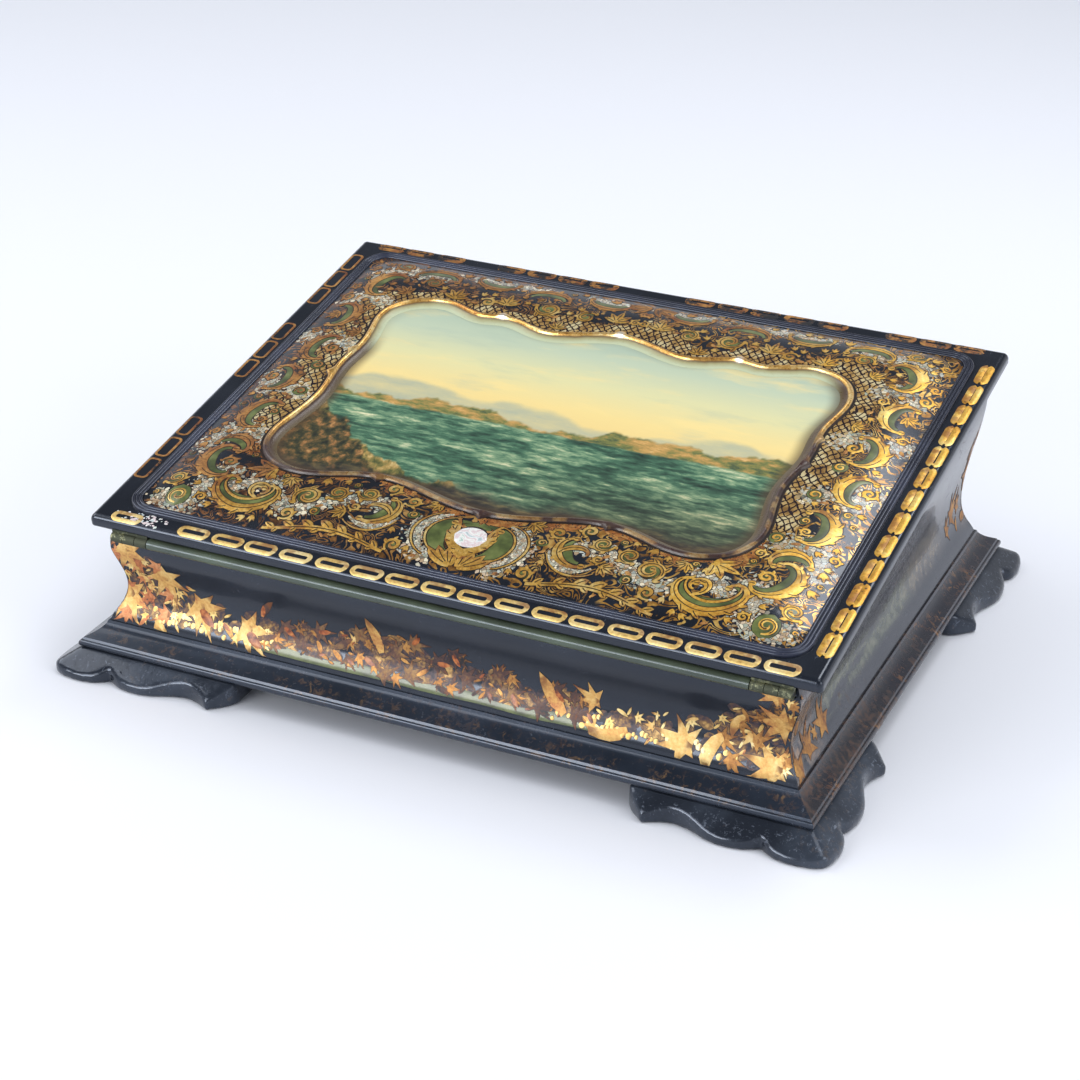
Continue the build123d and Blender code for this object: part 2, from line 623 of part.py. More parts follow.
groove = rod(-tray_x + 5, tray_x - 5, (tray_y0 + tray_y1) / 2, groove_z, TRAY_GROOVE_RADIUS)
keep("pen_tray", tray - groove)
keep("tray_rail", box_between(-tray_x, tray_x, tray_y1 + 0.4, tray_y1 + 3.4, TRAY_FLOOR_Z, tray_top))

# Ink bottles with hinged brass caps.
glass_top = WELL_FLOOR_Z + BOTTLE_HEIGHT
collar_z0 = glass_top + NECK_HEIGHT - COLLAR_HEIGHT
collar_z1 = glass_top + NECK_HEIGHT
cap_z0 = collar_z1 + KNUCKLE_GAP
bottle_x = (well_inner + inner_x) / 2
bottle_y = (divider_back + cross_y0) / 2
cap_axis_y = bottle_y + CAP_AXIS_OFFSET
cap_axis_z = collar_z1 + KNUCKLE_GAP
cap_pins = []
for side, sign in (("left", -1), ("right", 1)):
    cx = sign * bottle_x
    cy = bottle_y
    glass = Pos(cx, cy, WELL_FLOOR_Z + BOTTLE_HEIGHT / 2) * Box(BOTTLE_SIZE, BOTTLE_SIZE, BOTTLE_HEIGHT)
    glass = fillet(glass.edges().filter_by(Axis.Z), 4.0)
    glass = chamfer(glass.edges().group_by(Axis.Z)[-1], 2.5)
    glass += Pos(cx, cy, glass_top + NECK_HEIGHT / 2) * Cylinder(NECK_OUTER_RADIUS, NECK_HEIGHT)
    bore_z0 = WELL_FLOOR_Z + BOTTLE_FLOOR
    bore_h = glass_top - 4 - bore_z0
    glass -= Pos(cx, cy, bore_z0 + bore_h / 2) * Cylinder(BOTTLE_BORE_RADIUS, bore_h)
    glass -= Pos(cx, cy, (bore_z0 + collar_z1) / 2 + 5) * Cylinder(NECK_INNER_RADIUS, collar_z1 - bore_z0)
    keep("ink_bottle_" + side, glass)
    collar_mid = (collar_z0 + collar_z1) / 2
    collar = Pos(cx, cy, collar_mid) * Cylinder(COLLAR_OUTER_RADIUS, COLLAR_HEIGHT)
    ear = box_between(cx - 2.5, cx + 2.5, cy + NECK_OUTER_RADIUS, cap_axis_y, collar_z0, cap_axis_z - 0.6)
    collar += ear
    collar += rod(cx - 2.5, cx + 2.5, cap_axis_y, cap_axis_z, CAP_KNUCKLE_RADIUS)
    collar -= Pos(cx, cy, collar_mid) * Cylinder(NECK_OUTER_RADIUS, COLLAR_HEIGHT + 1)
    pin_hole = rod(cx - 7, cx + 7, cap_axis_y, cap_axis_z, CAP_PIN_RADIUS + PIN_CLEARANCE)
    keep("collar_" + side, collar - pin_hole)
    cap = Pos(cx, cy, cap_z0 + CAP_THICKNESS / 2) * Cylinder(COLLAR_OUTER_RADIUS, CAP_THICKNESS)
    ball = (COLLAR_OUTER_RADIUS - 2) ** 2 / (2 * CAP_DOME) + CAP_DOME / 2
    dome = Pos(cx, cy, cap_z0 + CAP_THICKNESS + CAP_DOME - ball) * Sphere(ball)
    dome &= Pos(cx, cy, cap_z0 + CAP_THICKNESS + CAP_DOME / 2) * Cylinder(COLLAR_OUTER_RADIUS, CAP_DOME)
    cap += dome
    cap -= box_between(cx - 2.9, cx + 2.9, cap_axis_y - 2.3, cap_axis_y + 4, cap_z0 - 1, cap_z0 + 5)
    for x in (cx - 4.4, cx + 4.4):
        cap += rod(x - 1.5, x + 1.5, cap_axis_y, cap_axis_z, CAP_KNUCKLE_RADIUS)
        cap += box_between(x - 1.5, x + 1.5, cy + 12, cap_axis_y, cap_z0, cap_z0 + 1.3)
    keep("cap_" + side, cap - pin_hole)
    cap_pins.append(rod(cx - 5.9, cx + 5.9, cap_axis_y, cap_axis_z, CAP_PIN_RADIUS))
keep("cap_pins", Compound(children=cap_pins))

# Lock in the tall back wall: selvedge plate flush with the rim, case below, sliding bolt.
lock_y = inner_y + LOCK_BEHIND_INNER
lock_v = (lock_y - lid_front_y) / math.cos(slope)
lock_top = -LID_GAP
case_x = LOCK_LENGTH / 2
v0 = lock_v - LOCK_WIDTH / 2
v1 = lock_v + LOCK_WIDTH / 2
case_low = lock_top - LOCK_DEPTH
case = slope_box(-case_x, case_x, v0, v1, case_low, lock_top)
plate = slope_box(
    -SELVEDGE_LENGTH / 2, SELVEDGE_LENGTH / 2, lock_v - SELVEDGE_WIDTH / 2,
    lock_v + SELVEDGE_WIDTH / 2, lock_top - SELVEDGE_THICKNESS, lock_top,
)
mortise = case + slope_box(
    -SELVEDGE_LENGTH / 2, SELVEDGE_LENGTH / 2, lock_v - SELVEDGE_WIDTH / 2,
    lock_v + SELVEDGE_WIDTH / 2, lock_top - SELVEDGE_THICKNESS, 2,
)
case += plate
case -= slope_box(
    -case_x + LOCK_WALL, case_x - LOCK_WALL, v0 + LOCK_WALL, v1 - LOCK_WALL,
    case_low + LOCK_WALL, lock_top - SELVEDGE_THICKNESS,
)
lugs = slope_box(
    -LINK_LENGTH / 2, LINK_LENGTH / 2, lock_v - LINK_WIDTH / 2, lock_v + LINK_WIDTH / 2,
    0, LINK_THICKNESS,
)
link_cut = lugs + slope_box(
    -LINK_LENGTH / 2, LINK_LENGTH / 2, lock_v - LINK_WIDTH / 2, lock_v + LINK_WIDTH / 2, -1, 0,
)
eye_w = -LUG_DEPTH + 1.6 + EYE_SIZE / 2
for x in (-LUG_SPACING, LUG_SPACING):
    case -= slope_box(x - 2.2, x + 2.2, lock_v - 2.9, lock_v + 2.9, -6, 0)
    lug = slope_box(
        x - LUG_THICKNESS / 2, x + LUG_THICKNESS / 2, lock_v - LUG_WIDTH / 2,
        lock_v + LUG_WIDTH / 2, -LUG_DEPTH, 0.5,
    )
    half = EYE_SIZE / 2
    lug -= slope_box(x - 3, x + 3, lock_v - half, lock_v + half, eye_w - half, eye_w + half)
    lugs += lug
key_w = case_low + 6.5
key_y, key_z = on_slope(lock_v, key_w)
finger_half = BOLT_FINGER / 2
bar_w = -LUG_DEPTH - 2.0
post_back = LUG_THICKNESS / 2 + BOLT_TRAVEL + KNUCKLE_GAP + BOLT_FINGER
bar_x0 = -LUG_SPACING - post_back
bar_x1 = LUG_SPACING - post_back + BOLT_FINGER
bolt = slope_box(bar_x0, bar_x1, lock_v - 1.5, lock_v + 1.5, bar_w - 3.5, bar_w)
for x in (-LUG_SPACING, LUG_SPACING):
    post_x = x - post_back
    bolt += slope_box(
        post_x, post_x + BOLT_FINGER, lock_v - 1.5, lock_v + 1.5, bar_w - 1, eye_w + finger_half,
    )
    bolt += slope_box(
        post_x + 1, x - LUG_THICKNESS / 2 - KNUCKLE_GAP, lock_v - finger_half,
        lock_v + finger_half, eye_w - finger_half, eye_w + finger_half,
    )
keep("lock_bolt", bolt)


def keyhole(y0, y1):
    """Keyhole through the back, round head above a slot."""
    head = Pos(0, (y0 + y1) / 2, key_z + KEYHOLE_DROP / 2) * Rot(90, 0, 0) * Cylinder(KEYHOLE_RADIUS, y1 - y0)
    slot = box_between(-0.9, 0.9, y0, y1, key_z - KEYHOLE_DROP / 2, key_z + KEYHOLE_DROP / 2)
    return head + slot


case -= keyhole(lock_y, lock_y + 12)
keep("lock_case", case)
plate_y1 = PLINTH_HALF_Y - ESCUTCHEON_INSET
plate_y0 = plate_y1 - ESCUTCHEON_THICKNESS
shield = Cylinder(ESCUTCHEON_RADIUS, ESCUTCHEON_THICKNESS)
shield &= Box(ESCUTCHEON_WIDTH, 2 * ESCUTCHEON_RADIUS, ESCUTCHEON_THICKNESS)
shield = Pos(0, (plate_y0 + plate_y1) / 2, key_z) * Rot(90, 0, 0) * shield
for recess in (mortise, shield, keyhole(lock_y, PLINTH_HALF_Y)):
    cut_walls(recess, "back")
keep("escutcheon", shield - keyhole(lock_y, PLINTH_HALF_Y))
keep("link_plate", lugs)
lid_board -= link_cut
screw_x = SELVEDGE_LENGTH / 2 - LOCK_SCREW_INSET
for x in (-screw_x, screw_x):
    screw = screw_at(x, lock_v, lock_top - SCREW_LENGTH)
    leaf_screws.append(screw)
    pieces["lock_case"] -= screw
    cut_walls(screw, "back")
screw_x = LINK_LENGTH / 2 - LOCK_SCREW_INSET
for x in (-screw_x, screw_x):
    screw = screw_at(x, lock_v, 0)
    lid_screws.append(screw)
    pieces["link_plate"] -= screw
    lid_board -= screw
keep("screws_in_base", Compound(children=leaf_screws))
keep("screws_in_lid", Compound(children=lid_screws))
keep("lid_board", lid_board)
for run, wall in walls.items():
    keep("wall_" + run, wall)

os.makedirs("parts", exist_ok=True)
for name, solid in pieces.items():
    export_step(solid, "parts/" + name + ".step")
    size = solid.bounding_box()
    print(name, round(size.size.X, 1), round(size.size.Y, 1), round(size.size.Z, 1))
print(len(pieces), "pieces")
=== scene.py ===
# %% [markdown]
# # A lacquered writing box with a sloping lid
# The box is moulded from pasteboard and coated with many coats of black lacquer, then
# decorated with gold leaf, green paint and flakes of mother-of-pearl. The construction
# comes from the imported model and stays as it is. This lesson adds what a decorator would
# add at the bench: the soft edges of the lacquer, the ornament and every surface finish.

# %% The fixed frame
import json
import math
import random

import bpy
from mathutils import Matrix, Quaternion, Vector
from mathutils.bvhtree import BVHTree


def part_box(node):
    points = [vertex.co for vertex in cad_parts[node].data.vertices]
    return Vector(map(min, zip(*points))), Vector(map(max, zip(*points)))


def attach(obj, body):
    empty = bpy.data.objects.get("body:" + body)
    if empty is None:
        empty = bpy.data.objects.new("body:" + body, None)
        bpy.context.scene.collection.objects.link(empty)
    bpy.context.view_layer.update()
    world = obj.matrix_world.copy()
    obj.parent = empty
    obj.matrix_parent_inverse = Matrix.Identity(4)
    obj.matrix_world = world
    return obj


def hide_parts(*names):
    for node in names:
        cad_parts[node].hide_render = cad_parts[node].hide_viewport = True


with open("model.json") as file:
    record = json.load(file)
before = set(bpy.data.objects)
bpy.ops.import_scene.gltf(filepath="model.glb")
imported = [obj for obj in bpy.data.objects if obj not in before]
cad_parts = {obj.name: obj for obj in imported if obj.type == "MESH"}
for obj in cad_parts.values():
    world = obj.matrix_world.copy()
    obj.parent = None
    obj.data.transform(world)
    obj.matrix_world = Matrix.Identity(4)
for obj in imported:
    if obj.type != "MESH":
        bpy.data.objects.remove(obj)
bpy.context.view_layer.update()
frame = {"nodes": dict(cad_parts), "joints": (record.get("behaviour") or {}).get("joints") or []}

MM = 0.001
nodes = frame["nodes"]


def deselect():
    """Nothing is selected, so that the next operator acts on one piece only."""
    if bpy.context.object and bpy.context.object.mode != "OBJECT":
        bpy.ops.object.mode_set(mode="OBJECT")
    bpy.ops.object.select_all(action="DESELECT")


def pick(piece):
    """The piece is the only one selected and the active one."""
    deselect()
    piece.select_set(True)
    bpy.context.view_layer.objects.active = piece


# %% [markdown]
# ## Camera and studio
# The picture was taken from the low front corner with a long lens, a little to the
# right. The box stands on a pale table in the soft light of a studio, and the gloss of
# the lacquer shows that table, so the table and the far walls are as pale to
# reflections as they are to the eye.

# %% Camera
CAMERA_PLACE = Vector((474.4, -1066.2, 645.4)) * MM
CAMERA_AZIMUTH = math.radians(24.46)
CAMERA_ELEVATION = math.radians(27.27)
CAMERA_ROLL = math.radians(0.51)
CAMERA_LENS = 84.81

away = Vector((
    math.sin(CAMERA_AZIMUTH) * math.cos(CAMERA_ELEVATION),
    -math.cos(CAMERA_AZIMUTH) * math.cos(CAMERA_ELEVATION),
    math.sin(CAMERA_ELEVATION),
))
camera = bpy.data.objects.new("camera", bpy.data.cameras.new("camera"))
bpy.context.scene.collection.objects.link(camera)
camera.location = CAMERA_PLACE
camera.rotation_mode = "QUATERNION"
camera.rotation_quaternion = (-away).to_track_quat("-Z", "Y") @ Quaternion((0, 0, 1), CAMERA_ROLL)
camera.data.lens = CAMERA_LENS
camera.data.sensor_width = 36
camera.data.clip_end = 50
bpy.context.scene.camera = camera
bpy.context.scene.view_settings.view_transform = "Standard"
print("camera up:", [round(c, 3) for c in camera.rotation_quaternion @ Vector((0, 1, 0))])


# %% Colours and shader nodes
def colour(code):
    """The linear colour of an sRGB code such as #d9a94e."""
    parts = [int(code[i:i + 2], 16) / 255 for i in (1, 3, 5)]
    return (*[c / 12.92 if c <= 0.04045 else ((c + 0.055) / 1.055) ** 2.4 for c in parts], 1)


def plug(node, inputs):
    """Fills a node's inputs: a node or an output is linked, a plain value is typed in."""
    for socket, value in inputs.items():
        if isinstance(value, bpy.types.Node):
            value = next(output for output in value.outputs if output.enabled)
        if isinstance(value, bpy.types.NodeSocket):
            node.id_data.links.new(value, node.inputs[socket])
        else:
            node.inputs[socket].default_value = value


def add(tree, kind, *values, stops=(), **settings):
    """Adds one node with its settings. Values fill its inputs in order and a dictionary
    names inputs; stops are a colour ramp's (place, sRGB code) pairs."""
    node = tree.nodes.new("ShaderNode" + kind)
    for name, setting in settings.items():
        setattr(node, name, setting)
    in_use = iter([i for i, socket in enumerate(node.inputs) if socket.enabled])
    for value in values:
        plug(node, value if isinstance(value, dict) else {next(in_use): value})
    while stops and len(node.color_ramp.elements) < len(stops):
        node.color_ramp.elements.new(0.5)
    for element, (place, code) in zip(node.color_ramp.elements if stops else (), stops):
        element.position = place
        element.color = colour(code)
    return node


# Settings that come up often. An eased map range is 0 below its low end and 1 above its
# high end; tints are the two colours that a mix node blends; the others are sums.
EASED = {"interpolation_type": "SMOOTHSTEP"}
TINTS = {"data_type": "RGBA"}
TIMES = {"operation": "MULTIPLY"}
PLUS = {"operation": "ADD"}
TIMES_PLUS = {"operation": "MULTIPLY_ADD"}


def per_metre(size_mm):
    """A noise's scale for patches of a size in millimetres."""
    return 1 / (size_mm * MM)


def new_material(name):
    """An empty finish: its tree, its shader and the place of each point on the object."""
    material = bpy.data.materials.new(name)
    material.use_nodes = True
    tree = material.node_tree
    tree.nodes.clear()
    shader = add(tree, "BsdfPrincipled")
    add(tree, "OutputMaterial", {"Surface": shader})
    return material, tree, shader, add(tree, "TexCoord").outputs["Object"]


def reopened(material):
    """A finish to be worked over: its tree, shader, place and the colour it has so far."""
    tree = material.node_tree
    shader = next(n for n in tree.nodes if n.type == "BSDF_PRINCIPLED")
    place = next(n for n in tree.nodes if n.type == "TEX_COORD").outputs["Object"]
    return tree, shader, place, shader.inputs["Base Color"].links[0].from_socket


print("#d9a94e in linear light:", [round(c, 3) for c in colour("#d9a94e")])

# %% Table, far wall and lamps
FLOOR_COLOUR = "#e9ecf4"
deselect()
bpy.ops.mesh.primitive_plane_add(size=1, location=(0, 0, 0))
table = bpy.context.object
table.name = "table"
bpy.ops.object.mode_set(mode="EDIT")
bpy.ops.mesh.select_all(action="SELECT")
bpy.ops.transform.resize(value=(14, 14, 1))
bpy.ops.object.mode_set(mode="OBJECT")
# A matt table, nearly white, throws soft light up into the mouldings.
table_paint, tree, shader, place = new_material("matt_table_paint")
plug(shader, {"Base Color": colour(FLOOR_COLOUR), "Roughness": 0.6})
table.data.materials.append(table_paint)

world = bpy.data.worlds.new("studio")
bpy.context.scene.world = world
world.use_nodes = True
tree = world.node_tree
tree.nodes.clear()
height = add(tree, "SeparateXYZ", add(tree, "TexCoord").outputs["Generated"]).outputs["Z"]
walls_tone = add(
    tree, "ValToRGB", height,
    stops=[(0.0, "#f4f5f8"), (0.22, "#e9ebf0"), (0.55, "#6d7178"), (1.0, "#54585f")])
ray = add(tree, "LightPath")
seen = add(
    tree, "Math", ray.outputs["Is Camera Ray"], ray.outputs["Is Glossy Ray"], operation="MAXIMUM")
seen = add(tree, "Math", seen, ray.outputs["Is Transmission Ray"], operation="MAXIMUM")
studio_light = add(tree, "Background", {"Color": colour("#eef1f7"), "Strength": 0.68})
studio_look = add(tree, "Background", {"Color": walls_tone, "Strength": 1.0})
add(tree, "OutputWorld", {"Surface": add(tree, "MixShader", seen, studio_light, studio_look)})


def lamp(name, place_mm, size_mm, watts, tone="#ffffff"):
    """A soft box that faces the middle of the lid."""
    light = bpy.data.lights.new(name, "AREA")
    light.shape = "RECTANGLE"
    light.size, light.size_y = (s * MM for s in size_mm)
    light.energy = watts
    light.color = colour(tone)[:3]
    holder = bpy.data.objects.new(name, light)
    bpy.context.scene.collection.objects.link(holder)
    holder.location = Vector(place_mm) * MM
    aim = Vector((0, 0, 80)) * MM - holder.location
    holder.rotation_euler = aim.to_track_quat("-Z", "Y").to_euler()
    return holder


lamp("window_left", (-1500, -150, 1300), (1200, 1000), 12)
lamp("soft_box_above", (600, 200, 1700), (1300, 900), 7)
lamp("soft_box_back", (230, 800, 1230), (420, 420), 3.4)
lamp("soft_box_right", (1500, -200, 900), (900, 700), 7)
lamp("fill_front", (-760, -1500, 760), (1000, 420), 9)
# This window is only seen in the lacquer: it draws the bright line along each moulding.
mirrored_window = lamp("window_front", (-760, -1500, 950), (1000, 1000), 13)
mirrored_window.visible_diffuse = False

# %% [markdown]
# ## Where things are
# The lid slopes, so its ornament is drawn flat, as on a bench, and then laid on the
# slope. u runs across the lid, v up the slope from its middle and w stands off its top
# face, all in millimetres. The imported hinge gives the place: its pin lies 0.4 mm before
# the lid's front edge and 3 mm below its underside.

# %% The lid's own frame
SLOPE = math.radians(9.1)
PIN_V, PIN_W = -0.4, -3.0
LID_HALF_U, LID_HALF_V, LID_THICKNESS = 190.0, 146.5, 6.5
hinge = next(j for j in frame["joints"] if j["name"] == "lid_hinge")
slope_turn = Matrix.Rotation(SLOPE, 4, "X")
lid_foot = Vector(hinge["pos_m"]) - slope_turn @ (Vector((0, PIN_V, PIN_W)) * MM)
LID = Matrix.Translation(lid_foot) @ slope_turn
LID = LID @ Matrix.Translation(Vector((0, LID_HALF_V, LID_THICKNESS)) * MM)


def on_lid(u, v, w):
    """A point of the lid's frame, in metres in the box's frame."""
    return LID @ (Vector((u, v, w)) * MM)


def tree_of(node, turn=Matrix.Identity(4)):
    """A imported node's faces, to be felt with rays, turned as asked."""
    mesh = nodes[node].data
    points = [turn @ v.co for v in mesh.vertices]
    return BVHTree.FromPolygons(points, [p.vertices[:] for p in mesh.polygons])


# %% [markdown]
# ### Outline and cushion
# The picture has a serpentine outline and the field swells up to it. The outline could be
# drawn again as a curve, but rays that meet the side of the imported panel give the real
# one. The swelling is a formula, so that every later stroke can ask for its height.

# %% The outline of the picture
PICTURE_U, PICTURE_V = -3.0, 0.0
OUTLINE_STEPS = 400
panel_sides = tree_of("painted_panel", LID.inverted())
outline = []
for i in range(OUTLINE_STEPS):
    angle = 2 * math.pi * i / OUTLINE_STEPS
    ray = Vector((math.cos(angle), math.sin(angle), 0))
    start = Vector((PICTURE_U, PICTURE_V, 1.6)) * MM + ray * 0.3
    hit = panel_sides.ray_cast(start, -ray)[0]
    outline.append(Vector((hit.x, hit.y)) / MM)
for _ in range(2):
    following = outline[1:] + outline[:1]
    outline = [(outline[i - 1] + p * 2 + following[i]) / 4 for i, p in enumerate(outline)]
outward = []
for i in range(OUTLINE_STEPS):
    run = outline[(i + 1) % OUTLINE_STEPS] - outline[i - 1]
    outward.append(Vector((run.y, -run.x)).normalized())
print("picture:", round(max(p.x for p in outline), 1), round(max(p.y for p in outline), 1), "mm")


# %% The height of the cushion
FIELD_HALF_U, FIELD_HALF_V, FIELD_CORNER = 172.1, 130.1, 9.0
CUSHION_CORNER, CUSHION_REACH = 24.0, 37.0
CUSHION_EDGE, CUSHION_TOP = 0.8, 5.4


def depth_inside(u, v, half_u, half_v, corner):
    """How far a point lies inside a rounded rectangle."""
    a = max(abs(u) - half_u + corner, 0)
    b = max(abs(v) - half_v + corner, 0)
    inner = min(max(abs(u) - half_u, abs(v) - half_v) + corner, 0)
    return corner - math.hypot(a, b) - inner


def cushion(u, v):
    """Height of the swelling field over the lid's top face."""
    depth = depth_inside(u, v, FIELD_HALF_U, FIELD_HALF_V, CUSHION_CORNER)
    share = min(max(depth / CUSHION_REACH, 0), 1)
    return CUSHION_EDGE + (CUSHION_TOP - CUSHION_EDGE) * (1 - (1 - share) ** 2.3)


def rim_distance(u, v):
    """How far a point lies outside the picture's outline, along its ray from the middle."""
    dx, dy = u - PICTURE_U, v - PICTURE_V
    step = math.atan2(dy, dx) / (2 * math.pi) * OUTLINE_STEPS
    edge = outline[int(step) % OUTLINE_STEPS]
    return math.hypot(dx, dy) - math.hypot(edge.x - PICTURE_U, edge.y - PICTURE_V)


print("cushion at the rim:", round(cushion(0, -92), 2), "mm high")


# %% [markdown]
# ## Finishes
# Black japan is a dozen coats of varnish and lamp black, rubbed smooth: almost black
# with a cold blue cast, glossy, with hairline scuffs and brown rubbed edges. The gold
# is leaf and bronze powder laid over it, warm where it is thick and brown where it is
# thin. Each finish gets its variation at the size that the eye would find on the box.


# %% Black lacquer
def lacquer_finish(
        name, base="#15181f", worn="#33261e", wear=0.62, scuff=0.4, gloss=0.14,
        lifted="#1d2129", ripple=0.06):
    """Japanned pasteboard: near black, glossy, with rubbed patches and fine scuffs."""
    material, tree, shader, place = new_material(name)
    # Wiping leaves clouds of 38 mm, scuffs of 3 mm and hairlines that all run one way.
    cloudy = add(tree, "TexNoise", place, per_metre(38), 5, 0.55)
    fine = add(tree, "TexNoise", place, per_metre(3.2), 6, 0.6, {"Distortion": 0.4})
    tone = add(
        tree, "Mix", add(tree, "MapRange", cloudy, 0.35, 0.7, **EASED), colour(base), colour(lifted),
        **TINTS)
    rubbed = add(tree, "Math", cloudy, 0.45, **TIMES)
    rubbed = add(tree, "Math", rubbed, add(tree, "Math", fine, 0.55, **TIMES), **PLUS)
    rubbed = add(tree, "MapRange", rubbed, wear, wear + 0.12, **EASED)
    tone = add(tree, "Mix", add(tree, "Math", rubbed, 0.75, **TIMES), tone, colour(worn), **TINTS)
    long_way = add(tree, "Mapping", {"Vector": place, "Scale": (1, 0.16, 1), "Rotation": (0, 0, 0.5)})
    hairline = add(
        tree, "MapRange", add(tree, "TexNoise", long_way.outputs[0], per_metre(2.2), 3, 0.7), 0.64,
        0.72, **EASED)
    marks = add(tree, "Math", hairline, add(tree, "MapRange", cloudy, 0.4, 0.6, **EASED), **TIMES)
    tone = add(
        tree, "Mix", add(tree, "Math", marks, scuff * 0.35, **TIMES), tone, colour("#8d95a3"), **TINTS)
    plug(shader, {"Base Color": tone})
    rough = add(tree, "Math", cloudy, 0.14, gloss, **TIMES_PLUS)
    rough = add(tree, "Math", rough, add(tree, "Math", rubbed, 0.25, **TIMES), **PLUS)
    rough = add(
        tree, "Math", rough, add(tree, "Math", marks, scuff * 0.3, **TIMES), **PLUS, use_clamp=True)
    plug(shader, {"Roughness": rough})
    waves = add(tree, "Math", cloudy, add(tree, "Math", fine, ripple, **TIMES), **PLUS)
    plug(shader, {
        "Normal": add(tree, "Bump", {"Height": waves, "Distance": 0.35 * MM, "Strength": 0.5}),
        "IOR": 1.52,
        "Specular Tint": colour("#c3d2ec"),
        "Coat Weight": 0.3,
        "Coat Roughness": 0.06,
    })
    return material


black_lacquer = lacquer_finish("black_japan_lacquer")
# The feet are kicked and dusty, so they look grey and milky.
foot_lacquer = lacquer_finish(
    "black_japan_lacquer_scuffed", "#22262e", "#4a4340", 0.53, 1.6, 0.1, "#3d444f", 0.4)
# Pale chips and painted glints lie in a band from 3 to 12 mm over the table, where the rounded edges
# would catch the light.
tree, shader, place, under = reopened(foot_lacquer)
height = add(tree, "SeparateXYZ", place).outputs["Z"]
chip_and_glint_band = add(
    tree, "Math", add(tree, "MapRange", height, 3 * MM, 7 * MM, **EASED),
    add(tree, "MapRange", height, 12 * MM, 9 * MM, **EASED), **TIMES)
chips_and_glints = add(
    tree, "MapRange", add(tree, "TexNoise", place, per_metre(2.0), 6, 0.75, {"Distortion": 0.6}), 0.56,
    0.66, **EASED)
chips_and_glints = add(tree, "Math", add(tree, "Math", chip_and_glint_band, chips_and_glints, **TIMES), 0.4, **TIMES)
plug(shader, {"Base Color": add(tree, "Mix", chips_and_glints, under, colour("#8b95a6"), **TINTS)})
# The front bar has green in its lacquer and a duller shine.
olive_lacquer = lacquer_finish("olive_japan_lacquer", "#424a3c", "#5d4f3c", 0.58, 0.8, 0.22, "#56614c")


# %% [markdown]
# ### Wear on the plinth and pale patches on the right side
# Hands have rubbed the border on the plinth to scraps; the right side is paler in patches.
# A picture could be painted for it; noise kept between two heights wears it away without
# a seam and stays sharp from near by.

# %% Plinth lacquer with the ghost of a gilt border
WORN_BRONZE = ("#46362f", "#6b5440", "#937346")


def ghost_border(material, low_mm, high_mm, strength=1.0, tones=WORN_BRONZE):
    """Scraps of a rubbed bronze border between two heights, over a lacquer."""
    tree, shader, place, under = reopened(material)
    height = add(tree, "SeparateXYZ", place).outputs["Z"]
    low = add(tree, "MapRange", height, low_mm * MM, (low_mm + 2) * MM, **EASED)
    high = add(tree, "MapRange", height, high_mm * MM, (high_mm - 2) * MM, **EASED)
    band = add(tree, "Math", low, high, **TIMES)
    patches = add(
        tree, "MapRange", add(tree, "TexNoise", place, per_metre(24), 3, 0.6), 0.42, 0.62, **EASED)
    flecks = add(
        tree, "MapRange", add(tree, "TexNoise", place, per_metre(3.6), 5, 0.7, {"Distortion": 0.8}),
        0.5, 0.62, **EASED)
    shown = add(tree, "Math", add(tree, "Math", band, patches, **TIMES), flecks, **TIMES)
    shown = add(tree, "Math", shown, strength, **TIMES)
    bronze = add(
        tree, "ValToRGB", add(tree, "TexNoise", place, per_metre(7), 3),
        stops=[(0.35, tones[0]), (0.55, tones[1]), (0.72, tones[2])])
    plug(shader, {"Base Color": add(tree, "Mix", shown, under, bronze, **TINTS)})


# The plinth is a shade greyer and softer in its shine than the walls over it.
plinth_lacquer = lacquer_finish(
    "black_japan_lacquer_plinth", "#1e242e", "#44342c", 0.55, 0.8, 0.17, "#2b323e")
ghost_border(plinth_lacquer, 14, 23, 0.7)


# %% The pale patches of the right side
def pale_patch(material, along_mm, up_mm, shown, tones, grain=(1, 1, 1)):
    """Pale tones between two depths and two heights, as (none, full, full, none)."""
    tree, shader, place, under = reopened(material)
    parts = add(tree, "SeparateXYZ", place).outputs
    inside = shown
    for value, (start, whole, last, end) in ((parts["Y"], along_mm), (parts["Z"], up_mm)):
        inside = add(
            tree, "Math", add(tree, "MapRange", value, start * MM, whole * MM, **EASED), inside,
            **TIMES)
        inside = add(
            tree, "Math", inside, add(tree, "MapRange", value, end * MM, last * MM, **EASED), **TIMES)
    drawn = add(tree, "Mapping", {"Vector": place, "Scale": grain}).outputs[0]
    inside = add(
        tree, "Math", inside,
        add(tree, "MapRange", add(tree, "TexNoise", drawn, per_metre(9), 6, 0.62), 0.38, 0.52, **EASED),
        **TIMES)
    tone = add(
        tree, "ValToRGB", add(tree, "TexNoise", place, per_metre(5), 4),
        stops=[(0.35, tones[0]), (0.55, tones[1]), (0.72, tones[2])])
    plug(shader, {"Base Color": add(tree, "Mix", inside, under, tone, **TINTS)})


side_lacquer = lacquer_finish(
    "black_japan_lacquer_pale_patched_side", "#202127", "#4f4135", 0.56, 0.9, 0.17, "#303137")
